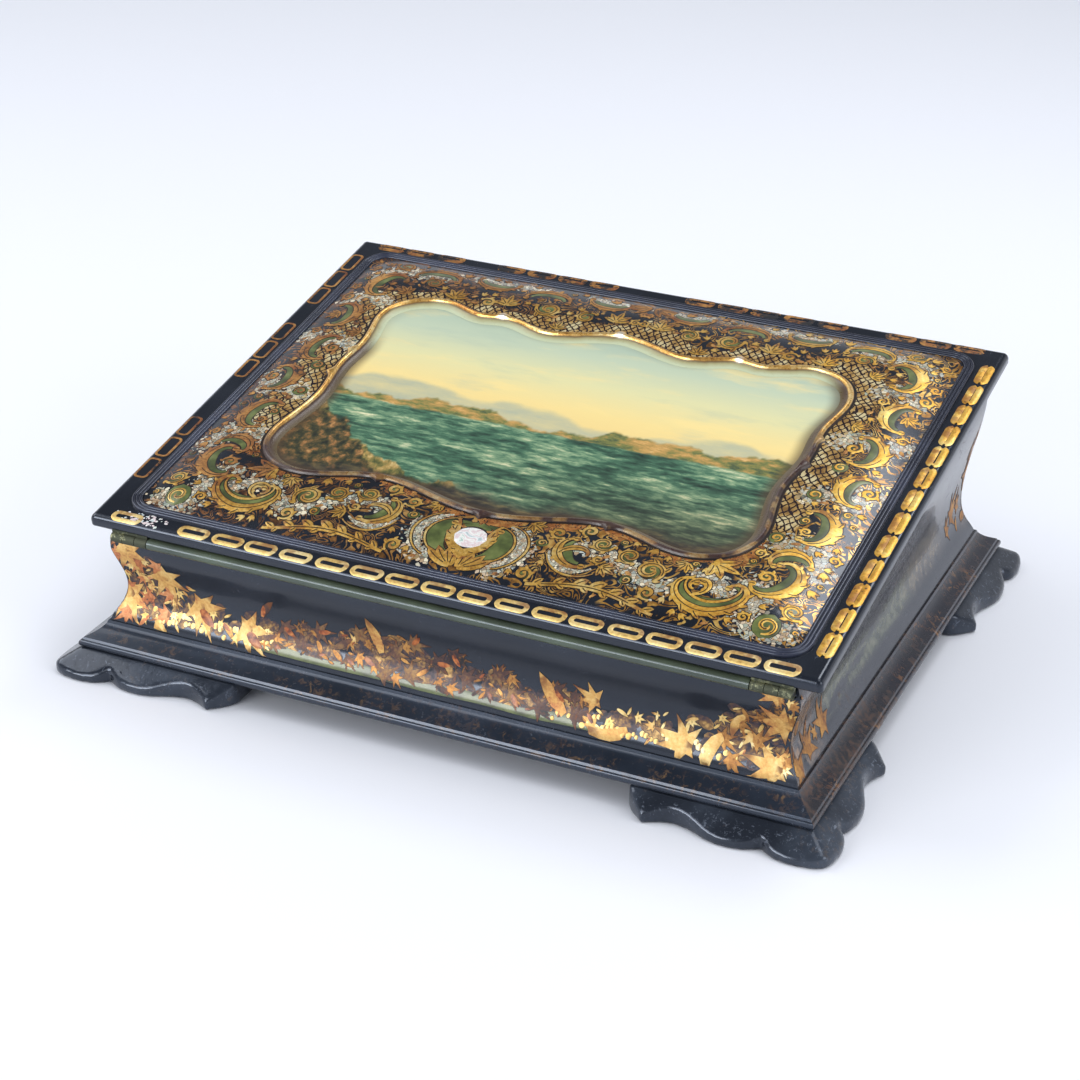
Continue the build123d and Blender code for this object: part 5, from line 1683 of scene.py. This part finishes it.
def on_wall(side, along, up, rise):
    """along runs left to right (front) or front to back (right); up is height in millimetres."""
    step = min(max(up / FRONT_HEIGHT * SECTION_STEPS, 0.5), SECTION_STEPS - 1)
    if side in ("front", "back"):
        section = front_mitre if side == "front" else back_mitre
        a, b = section[int(step)], section[int(step) + 1]
        sign = -1 if side == "front" else 1
    else:
        share = (along + PLINTH_HALF_Y) / (2 * PLINTH_HALF_Y)
        a = front_mitre[int(step)].lerp(back_mitre[int(step)], share)
        b = front_mitre[int(step) + 1].lerp(back_mitre[int(step) + 1], share)
        sign = -1 if side == "left" else 1
    spot = a.lerp(b, step - int(step))
    run = (b - a).normalized()
    inset, height = spot.x - run.y * rise, spot.y + run.x * rise
    if side in ("front", "back"):
        reach = PLINTH_HALF_X - spot.x - MITRE_ROOM
        along = min(max(along, -reach), reach)
        return Vector((along, sign * (PLINTH_HALF_Y - inset), height)) * MM
    reach = PLINTH_HALF_Y - spot.x - MITRE_ROOM
    along = min(max(along, -reach), reach)
    return Vector((sign * (PLINTH_HALF_X - inset), along, height)) * MM


def star_leaf(u, v, size, heading):
    """A leaf with sharp points, like ivy."""
    leaf = [dot(u, v, size * 0.2)]
    for turn, reach in ((0, 1.0), (44, 0.8), (-44, 0.78), (92, 0.6), (-96, 0.62), (160, 0.4)):
        turn += random.uniform(-9, 9)
        leaf.append(spike(u, v, heading + turn, size * reach, random.uniform(-0.8, 0.8), size * 0.19))
    return leaf


def leaf_bed(low, high, top, sizes, tries, heading):
    """Leaves of falling size, packed under a top line, and a flush on some of them."""
    held, leaves, flushes = [], [], []
    for size in sizes:
        for _ in range(tries):
            u, v = random.uniform(low, high), random.uniform(5, 47)
            crowded = (math.hypot(u - a, v - b) < (size + other) * 0.36 for a, b, other in held)
            if v > top(u) or any(crowded):
                continue
            held.append((u, v, size))
            turn = heading + random.uniform(-60, 60)
            if size > 6 and random.random() < 0.7:
                leaves += star_leaf(u, v, size * 0.8, turn)
            else:
                leaves.append(lobe(u, v, turn, size, random.uniform(-4, 4), size * 0.13))
            if random.random() < 0.3:
                flushes.append(lobe(u, v, turn + random.uniform(-40, 40), size * 0.55, 2, size * 0.09))
    return leaves, flushes


random.seed(23)
# The leaves are gold, salmon and purple brown, duller than the scrolls on the lid.
leaf_gold = gilding("autumn_gold_leaf", ("#b26f42", "#d8aa60", "#edd08e"), 0.33, 0.37, 0.35, 0.44)
leaf_orange = gilding("salmon_bronze_powder", ("#8d4a2c", "#c47a4b", "#e0aa76"), 0.36, 0.42, 0.3, 0.45)
leaf_brown = gilding("purple_brown_bronze", ("#33282e", "#61443a", "#a07a48"), 0.34, 0.4, 0.25, 0.44)
# Bronze powder dusted on tacky size thins out to a brown haze at its edges.
powder_haze, tree, shader, place = new_material("bronze_powder_haze")
mottled = add(tree, "Math", add(tree, "TexNoise", place, per_metre(9), 5, 0.6), 0.6, **TIMES)
mottled = add(
    tree, "Math", add(tree, "TexNoise", place, per_metre(2.4), 4, 0.6), 0.4, mottled, **TIMES_PLUS)
stops = [(0.39, "#1d222c"), (0.46, "#41363e"), (0.51, "#5f463a"), (0.56, "#8b6a40"), (0.63, "#c39c5e")]
plug(shader, {
    "Base Color": add(tree, "ValToRGB", mottled, stops=stops), "Metallic": 0.25, "Roughness": 0.42,
})
# A thin red glaze over gold warms the foot of a leaf.
leaf_flush, tree, shader, place = new_material("red_orange_glaze")
glaze = add(
    tree, "ValToRGB", add(tree, "TexNoise", place, per_metre(3), 3),
    stops=[(0.36, "#6a3018"), (0.5, "#a95827"), (0.66, "#cf8140")])
plug(shader, {"Base Color": glaze, "Roughness": 0.35})


def lay(name, side, leaves, finish, flushes=()):
    """Outlines, leaves and flushes on one wall."""
    def wrap_wall(along, up, rise):
        return on_wall(side, along, up, rise)

    paint(name + "_outlines", widened(leaves, 0.3), ink, wrap_wall, "base", 0.05, 0.1)
    paint(name + "_leaves", leaves, finish, wrap_wall, "base", 0.1, 0.4)
    if flushes:
        paint(name + "_flush", flushes, leaf_flush, wrap_wall, "base", 0.24, 0.4)


def corner_top(u):
    """The top line of the corner sprays: high at the corner, low towards the middle."""
    return max(47 - 0.58 * (178 - abs(u)), 17) + 4 * math.sin(u * 0.35)


def garland_top(u):
    return 18 + 7 * math.exp(-((u + 25) / 34) ** 2) + 3 * math.sin(u * 0.23)


def side_top(y):
    return 44 - 0.9 * (y + 138) + 4 * math.sin(y * 0.3)


def back_corner_top(y):
    return 12 + 0.5 * (y - 100) + 3 * math.sin(y * 0.3)


# An olive band along the foot of the front wall: olive paint, and in part a painted reflection of the
# light olive-grey sheen there.
foot_line = [(u, 4.5 + 0.6 * math.sin(u * 0.12)) for u in range(-104, 96, 8)]
foot_band = [(foot_line, [2.0 + 0.5 * math.sin(k) for k in range(len(foot_line))])]


def wrap_front(along, up, rise):
    return on_wall("front", along, up, rise)


paint("front_foot_band", foot_band, olive_ground, wrap_front, "base", 0.03, 0.1)
BEDS = [
    ("front_left_corner", "front", leaf_orange, (-178, -148, corner_top, (14, 9, 6), 120, 200)),
    ("front_left", "front", leaf_gold, (-178, -94, corner_top, (26, 17, 11, 7.5, 5), 200, -20)),
    ("front_left_shards", "front", pale_gold, (-178, -94, corner_top, (7, 5, 4), 70, -30)),
    ("front_garland", "front", leaf_brown, (-100, 72, garland_top, (14, 10, 7, 5), 330, 10)),
    ("front_garland_gold", "front", orange_bronze, (-98, 76, garland_top, (9, 6, 4), 110, 10)),
    ("front_garland_leaf", "front", leaf_gold, (-48, -24, garland_top, (22, 8, 5), 6, 150)),
    ("front_right", "front", leaf_gold, (64, 178, corner_top, (26, 17, 11, 7.5, 5), 180, 200)),
    ("front_right_corner", "front", orange_bronze, (140, 178, corner_top, (14, 9), 60, -20)),
    ("front_right_shards", "front", pale_gold, (66, 178, corner_top, (7, 5, 4), 60, 30)),
    ("right_front", "right", orange_bronze, (-142, -88, side_top, (20, 13, 8, 5), 120, 110)),
    ("right_back", "right", orange_bronze, (104, 146, back_corner_top, (15, 9, 6), 70, 60)),
    ("left_front", "left", rubbed_bronze, (-142, -88, side_top, (20, 13, 8, 5), 110, 110)),
    ("left_back", "left", rubbed_bronze, (104, 146, back_corner_top, (15, 9, 6), 60, 60)),
    ("back_left", "back", rubbed_bronze, (-176, -120, corner_top, (17, 11, 7), 60, -20)),
    ("back_right", "back", rubbed_bronze, (120, 176, corner_top, (17, 11, 7), 60, 200)),
]
for name, side, finish, bed in BEDS:
    leaves, flushes = leaf_bed(*bed)
    lay(name, side, leaves, finish, flushes if finish in (leaf_gold, leaf_brown) else ())


def blots(low, high, top, count, size):
    """Blots that run together into a ground of bronze powder under the leaves."""
    made = []
    while len(made) < count:
        u, v = random.uniform(low, high), random.uniform(6, 42)
        if v < top(u) - size * 0.6:
            made.append(dot(
                u, v, size * random.uniform(0.5, 1), random.uniform(1, 1.7),
                random.uniform(-40, 40)))
    return made


haze = blots(-172, -96, corner_top, 110, 3.2) + blots(-104, 76, garland_top, 300, 3.2)
haze += blots(70, 172, corner_top, 130, 3.2)
paint("front_powder_haze", haze, powder_haze, wrap_front, "base", 0.015, 0.02)

berries = []
for low, high in ((-158, -90), (60, 152)):
    at = low
    while at < high:
        berries.append(dot(at, 7.0 + random.uniform(-2.5, 3), random.uniform(0.8, 1.6)))
        at += random.uniform(1.6, 3.4)
lay("front_berries", "front", berries, pale_gold)

# %% [markdown]
# ### Flakes on the front margin
# Some crushed shell clings to the worn front margin beside the chain. Tiny oval dots are
# laid with the same brush, because a texture would smear where the margin rolls over.

# %% Shell flakes on the worn front margin
chips = [
    dot(
        random.gauss(-161, 7), random.uniform(1, 9), random.uniform(0.2, 0.75), 1.5,
        random.uniform(0, 180))
    for _ in range(70)
]


def wrap_front_margin(along, out_at, rise):
    return on_margin(along, out_at, "front", rise)


paint("lid_margin_pearl", chips, whole_pearl, wrap_front_margin, "lid", 0.04, 0.5)

# %% [markdown]
# ## Metal, glass and linings
# The hinges, lock and ink caps are brass that has aged to a greenish brown; screws and
# pins are plain steel. Crimson velvet covers the writing flap and lines the lid, with a
# pile that looks lighter at a grazing angle. Marbled paper lines the floor.


# %% Metals and glass
def metal_finish(name, tones, tarnish, amount, rough):
    """Bare metal with fine scratches and patches of tarnish."""
    material, tree, shader, place = new_material(name)
    cloudy = add(tree, "TexNoise", place, per_metre(9), 5, 0.6)
    fine = add(tree, "TexNoise", place, per_metre(0.9), 3, 0.6, {"Distortion": 0.5})
    tone = add(tree, "ValToRGB", cloudy, stops=[(0.35, tones[0]), (0.5, tones[1]), (0.65, tones[2])])
    dark = add(
        tree, "MapRange", add(tree, "Math", fine, 0.25, cloudy, **TIMES_PLUS), 0.72 - amount,
        0.8 - amount, **EASED)
    tone = add(tree, "Mix", dark, tone, colour(tarnish), **TINTS)
    plug(shader, {"Base Color": tone, "Metallic": add(tree, "Math", dark, -0.45, 1.0, **TIMES_PLUS)})
    rough = add(tree, "Math", fine, 0.25, rough, **TIMES_PLUS)
    plug(shader, {
        "Roughness": add(tree, "Math", dark, 0.2, rough, **TIMES_PLUS),
        "Normal": add(tree, "Bump", {"Height": fine, "Distance": 0.05 * MM, "Strength": 0.5}),
    })
    return material


# Brass is warm and bright where it is handled and grey green where it isn't; steel is cold.
aged_brass = metal_finish("aged_brass", ("#9a7a42", "#b8965a", "#d2b174"), "#574a30", 0.08, 0.22)
tarnished_brass = metal_finish("tarnished_brass", ("#73735c", "#96987a", "#b3b497"), "#4b4f40", 0.2, 0.34)
steel = metal_finish("plain_steel", ("#77777a", "#919193", "#a9a9a8"), "#4c443c", 0.06, 0.26)

# Pressed glass is slightly green and uneven, so what stands behind it wavers.
glass, tree, shader, place = new_material("pressed_glass")
plug(shader, {
    "Base Color": colour("#e6f2ee"),
    "Roughness": 0.03,
    "IOR": 1.52,
    "Transmission Weight": 1.0,
    "Normal": add(tree, "Bump", {
        "Height": add(tree, "TexNoise", place, per_metre(14), 2),
        "Distance": 0.3 * MM,
        "Strength": 0.4,
    }),
})

# %% Velvet, silk, paper and softwood
# The nap lies in brushed patches of 34 mm and the sheen lights up the grazing edges.
velvet, tree, shader, place = new_material("crimson_cotton_velvet")
nap = add(tree, "TexNoise", place, per_metre(34), 4, 0.55, {"Distortion": 0.6})
pile = add(tree, "TexNoise", place, per_metre(0.7), 2, 0.6)
crushed = add(tree, "MapRange", nap, 0.3, 0.7, **EASED)
tone = add(tree, "Mix", crushed, colour("#560f1c"), colour("#691524"), **TINTS)
tone = add(tree, "Mix", add(tree, "Math", pile, 0.5, **TIMES), tone, colour("#36080f"), **TINTS)
plug(shader, {
    "Base Color": tone,
    "Roughness": 0.88,
    "Sheen Weight": 0.7,
    "Sheen Roughness": 0.35,
    "Sheen Tint": colour("#d56a80"),
    "Normal": add(tree, "Bump", {"Height": pile, "Distance": 0.25 * MM, "Strength": 0.7}),
})

# Ribs run across a silk ribbon about 0.5 mm apart and glint one by one.
silk, tree, shader, place = new_material("ribbed_silk_ribbon")
RIB_MM = 0.5
ribs = add(tree, "TexWave", {"Vector": place, "Scale": 0.31 / (RIB_MM * MM)}, bands_direction="X")
plug(shader, {
    "Base Color": add(
        tree, "ValToRGB", ribs.outputs["Fac"], stops=[(0.2, "#4a0d19"), (0.8, "#8a2237")]),
    "Normal": add(
        tree, "Bump", {"Height": ribs.outputs["Fac"], "Distance": 0.12 * MM, "Strength": 0.8}),
    "Roughness": 0.42,
    "Sheen Weight": 0.3,
})

# Marbled paper was combed while wet: veins of red, cream and blue drawn out one way.
marbled, tree, shader, place = new_material("combed_marbled_paper")
combed = add(tree, "Mapping", {"Vector": place, "Scale": (1, 0.35, 1)}).outputs[0]
veins_of_size = add(tree, "TexNoise", combed, per_metre(24), 3, 0.45, {"Distortion": 1.6})
stops = [
    (0.30, "#2c1a1c"), (0.38, "#7a2a26"), (0.44, "#c7ab7c"), (0.47, "#6b2422"), (0.53, "#27364c"),
    (0.57, "#b99a6c"), (0.62, "#8a352c"), (0.7, "#1f2734"),
]
plug(shader, {"Base Color": add(tree, "ValToRGB", veins_of_size, stops=stops), "Roughness": 0.55})

# The base is stained pine: dull, brown and grained along the box.
softwood, tree, shader, place = new_material("stained_softwood")
along = add(tree, "Mapping", {"Vector": place, "Scale": (0.06, 1, 1)}).outputs[0]
grain = add(tree, "TexNoise", along, per_metre(4), 5, 0.6, {"Distortion": 0.3})
plug(shader, {
    "Base Color": add(
        tree, "ValToRGB", grain, stops=[(0.35, "#2b211a"), (0.5, "#4a382a"), (0.65, "#6a5340")]),
    "Normal": add(tree, "Bump", {"Height": grain, "Distance": 0.15 * MM, "Strength": 0.6}),
    "Roughness": 0.62,
})

# The inside was never polished as often, so it is duller.
inside_lacquer = lacquer_finish("black_lacquer_inside", "#17181d", "#2f251d", 0.6, 0.3, 0.3)
# The reeds are painted a lifted violet grey: painted highlight for the fine lines of light they catch.
reed_lacquer = lacquer_finish(
    "black_japan_lacquer_reeds", "#22242f", "#40353c", 0.58, 0.5, 0.16, "#343849")

# %% [markdown]
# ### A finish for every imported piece
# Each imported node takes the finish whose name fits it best, by the longest match.

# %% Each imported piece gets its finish
FINISHES = {
    black_lacquer: ("lid_board", "wall_", "flap_board", "cartouche_rim", "painted_panel", "lid_field"),
    reed_lacquer: ("lid_reed",),
    plinth_lacquer: ("plinth_",),
    right_plinth_lacquer: ("plinth_right",),
    foot_lacquer: ("foot_",),
    olive_lacquer: ("front_bar",),
    softwood: ("base_board",),
    marbled: ("floor_liner",),
    inside_lacquer: ("divider", "well_", "tray_", "pen_tray", "flap_rail", "flap_ledge"),
    aged_brass: ("cap_", "collar_", "lock_", "escutcheon", "link_plate", "flap_hinge_leaves"),
    tarnished_brass: ("hinge_leaf_",),
    steel: ("screws_", "hinge_pins", "cap_pins", "flap_hinge_pins"),
    glass: ("ink_bottle",),
    velvet: ("lid_lining", "flap_velvet"),
    silk: ("flap_tab",),
}
for name, node in nodes.items():
    fitting = [
        (len(start), material)
        for material, starts in FINISHES.items() for start in starts if name.startswith(start)
    ]
    node.data.materials.clear()
    node.data.materials.append(max(fitting, key=lambda pair: pair[0])[1])
print("finished nodes:", len(nodes))

# %% [markdown]
# ## Softened feet
# The carver rounded the feet over before they were lacquered, and the round edge catches
# the light along every curve. A bevel runs into itself at the tight notches, so a copy
# of each packed foot is recast in small cubes and smoothed, like sanding a real one.

# %% Feet with rounded edges
CAST_SIZE, SANDING, FACES_KEPT = 0.9, 24, 0.35
for name in [n for n in nodes if n.startswith("foot_")]:
    piece = nodes[name].copy()
    piece.data = nodes[name].data.copy()
    piece.name = name + "_rounded"
    bpy.context.scene.collection.objects.link(piece)
    pick(piece)
    bpy.ops.object.mode_set(mode="EDIT")
    bpy.ops.mesh.select_all(action="SELECT")
    bpy.ops.mesh.remove_doubles(threshold=0.02 * MM)
    bpy.ops.mesh.dissolve_limited(angle_limit=math.radians(2))
    bpy.ops.mesh.normals_make_consistent(inside=False)
    bpy.ops.object.mode_set(mode="OBJECT")
    cast = piece.modifiers.new("cast", "REMESH")
    cast.mode = "VOXEL"
    cast.voxel_size = CAST_SIZE * MM
    sanded = piece.modifiers.new("sanded", "SMOOTH")
    sanded.factor = 0.5
    sanded.iterations = SANDING
    fewer = piece.modifiers.new("fewer", "DECIMATE")
    fewer.ratio = FACES_KEPT
    for modifier in (cast, sanded, fewer):
        bpy.ops.object.modifier_apply(modifier=modifier.name)
    bpy.ops.object.shade_smooth()
    piece.data.materials.clear()
    piece.data.materials.append(foot_lacquer)
    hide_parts(name)
    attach(piece, "base")
print("foot faces:", len(piece.data.polygons))

# %% [markdown]
# ## Velvet pads and the pull ribbon
# The velvet is glued over thin wadding, so its edges are round and it swells a little
# between them. The ribbon is a loop of silk that lifts the writing flap.


# %% Velvet pads
def flat_box(node):
    """A node's lowest and highest corner in the lid's frame, in millimetres."""
    back = LID.inverted()
    points = [(back @ v.co) / MM for v in nodes[node].data.vertices]
    return [min(p[k] for p in points) for k in range(3)], [max(p[k] for p in points) for k in range(3)]


def rounded(middle, half_u, half_v, corner):
    points = []
    for su, sv, start in ((1, 1, 0), (-1, 1, 90), (-1, -1, 180), (1, -1, 270)):
        for k in range(7):
            turn = math.radians(start + 15 * k)
            points.append((
                middle[0] + su * (half_u - corner) + corner * math.cos(turn),
                middle[1] + sv * (half_v - corner) + corner * math.sin(turn),
            ))
    return points


# The pad's edge, as (inset, share of its thickness).
PAD_PROFILE = [
    (0.25, 0.0), (0.0, 0.3), (0.25, 0.6), (0.9, 0.8), (2.2, 0.88), (9.0, 0.94), (26.0, 0.98),
    (55.0, 1.0),
]


def pad(name, node, facing):
    """A soft slab in the node's place; facing is 1 when the velvet looks up and -1 when down."""
    low, high = flat_box(node)
    middle = [(a + b) / 2 for a, b in zip(low, high)]
    half_u, half_v = (high[0] - low[0]) / 2, (high[1] - low[1]) / 2
    glued = low[2] if facing > 0 else high[2]
    rings = []
    for inset, share in PAD_PROFILE:
        shape = rounded(middle, half_u - inset, half_v - inset, max(4 - inset * 0.05, 1))
        w = glued + facing * share * (high[2] - low[2])
        rings.append([on_lid(u, v, w) for u, v in shape])
    piece = skin(name, rings, velvet, capped=True)
    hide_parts(node)
    return piece


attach(pad("lid_lining_velvet", "lid_lining", -1), "lid")
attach(pad("flap_pad_velvet", "flap_velvet", 1), "flap")

# %% [markdown]
# ### Gilt lines round the flap
# Two fine lines frame the velvet. They could be a tooled strip; thin closed strokes of the
# same brush lie flat on the board and swing with it.

# %% Gilt lines round the flap
flap_low, flap_high = flat_box("flap_board")


def on_flap(u, v, rise):
    return on_lid(u, v, flap_high[2] + rise)


flap_middle = [(a + b) / 2 for a, b in zip(flap_low, flap_high)]
flap_half = [(b - a) / 2 for a, b in zip(flap_low, flap_high)]
lines = []
for inset, width in ((6.0, 0.55), (9.5, 0.3)):
    shape = rounded(flap_middle, flap_half[0] - inset, flap_half[1] - inset, 3)
    lines.append((shape, [width] * len(shape)))
paint("flap_gilt_lines", lines, gold_leaf, on_flap, "flap", 0.03, 0.3, closed=True)

# %% Pull ribbon
RIBBON_THICKNESS, RIBBON_TURN = 0.22, 8
tab_low, tab_high = flat_box("flap_tab")
bend = (tab_high[2] - tab_low[2] - RIBBON_THICKNESS) / 2
centre_w, end_v = (tab_high[2] + tab_low[2]) / 2, tab_high[1] - bend - RIBBON_THICKNESS / 2
path = [(tab_low[1] + (end_v - tab_low[1]) * k / 5, centre_w + bend) for k in range(6)]
for k in range(1, RIBBON_TURN + 1):
    turn = math.pi * (0.5 - k / RIBBON_TURN)
    path.append((end_v + bend * math.cos(turn), centre_w + bend * math.sin(turn)))
path += [(tab_low[1] + (end_v - tab_low[1]) * (4 - k) / 5, centre_w - bend) for k in range(5)]
ribbon_length = sum(math.dist(a, b) for a, b in zip(path, path[1:]))
ribbon_width = tab_high[0] - tab_low[0]
rows = [[on_lid(tab_low[0] + ribbon_width * k / 6, v, w) for k in range(7)] for v, w in path]
ribbon = skin("flap_pull_ribbon", rows, silk, closed=False)
thicken = ribbon.modifiers.new("thickness", "SOLIDIFY")
thicken.thickness = RIBBON_THICKNESS * MM
thicken.offset = 0
pick(ribbon)
bpy.ops.object.modifier_apply(modifier=thicken.name)
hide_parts("flap_tab")
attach(ribbon, "flap")
print("ribbon:", round(ribbon_width, 1), "x", round(ribbon_length, 1), "mm")


# %% The drawing tools are put away
bpy.data.objects.remove(section_piece)
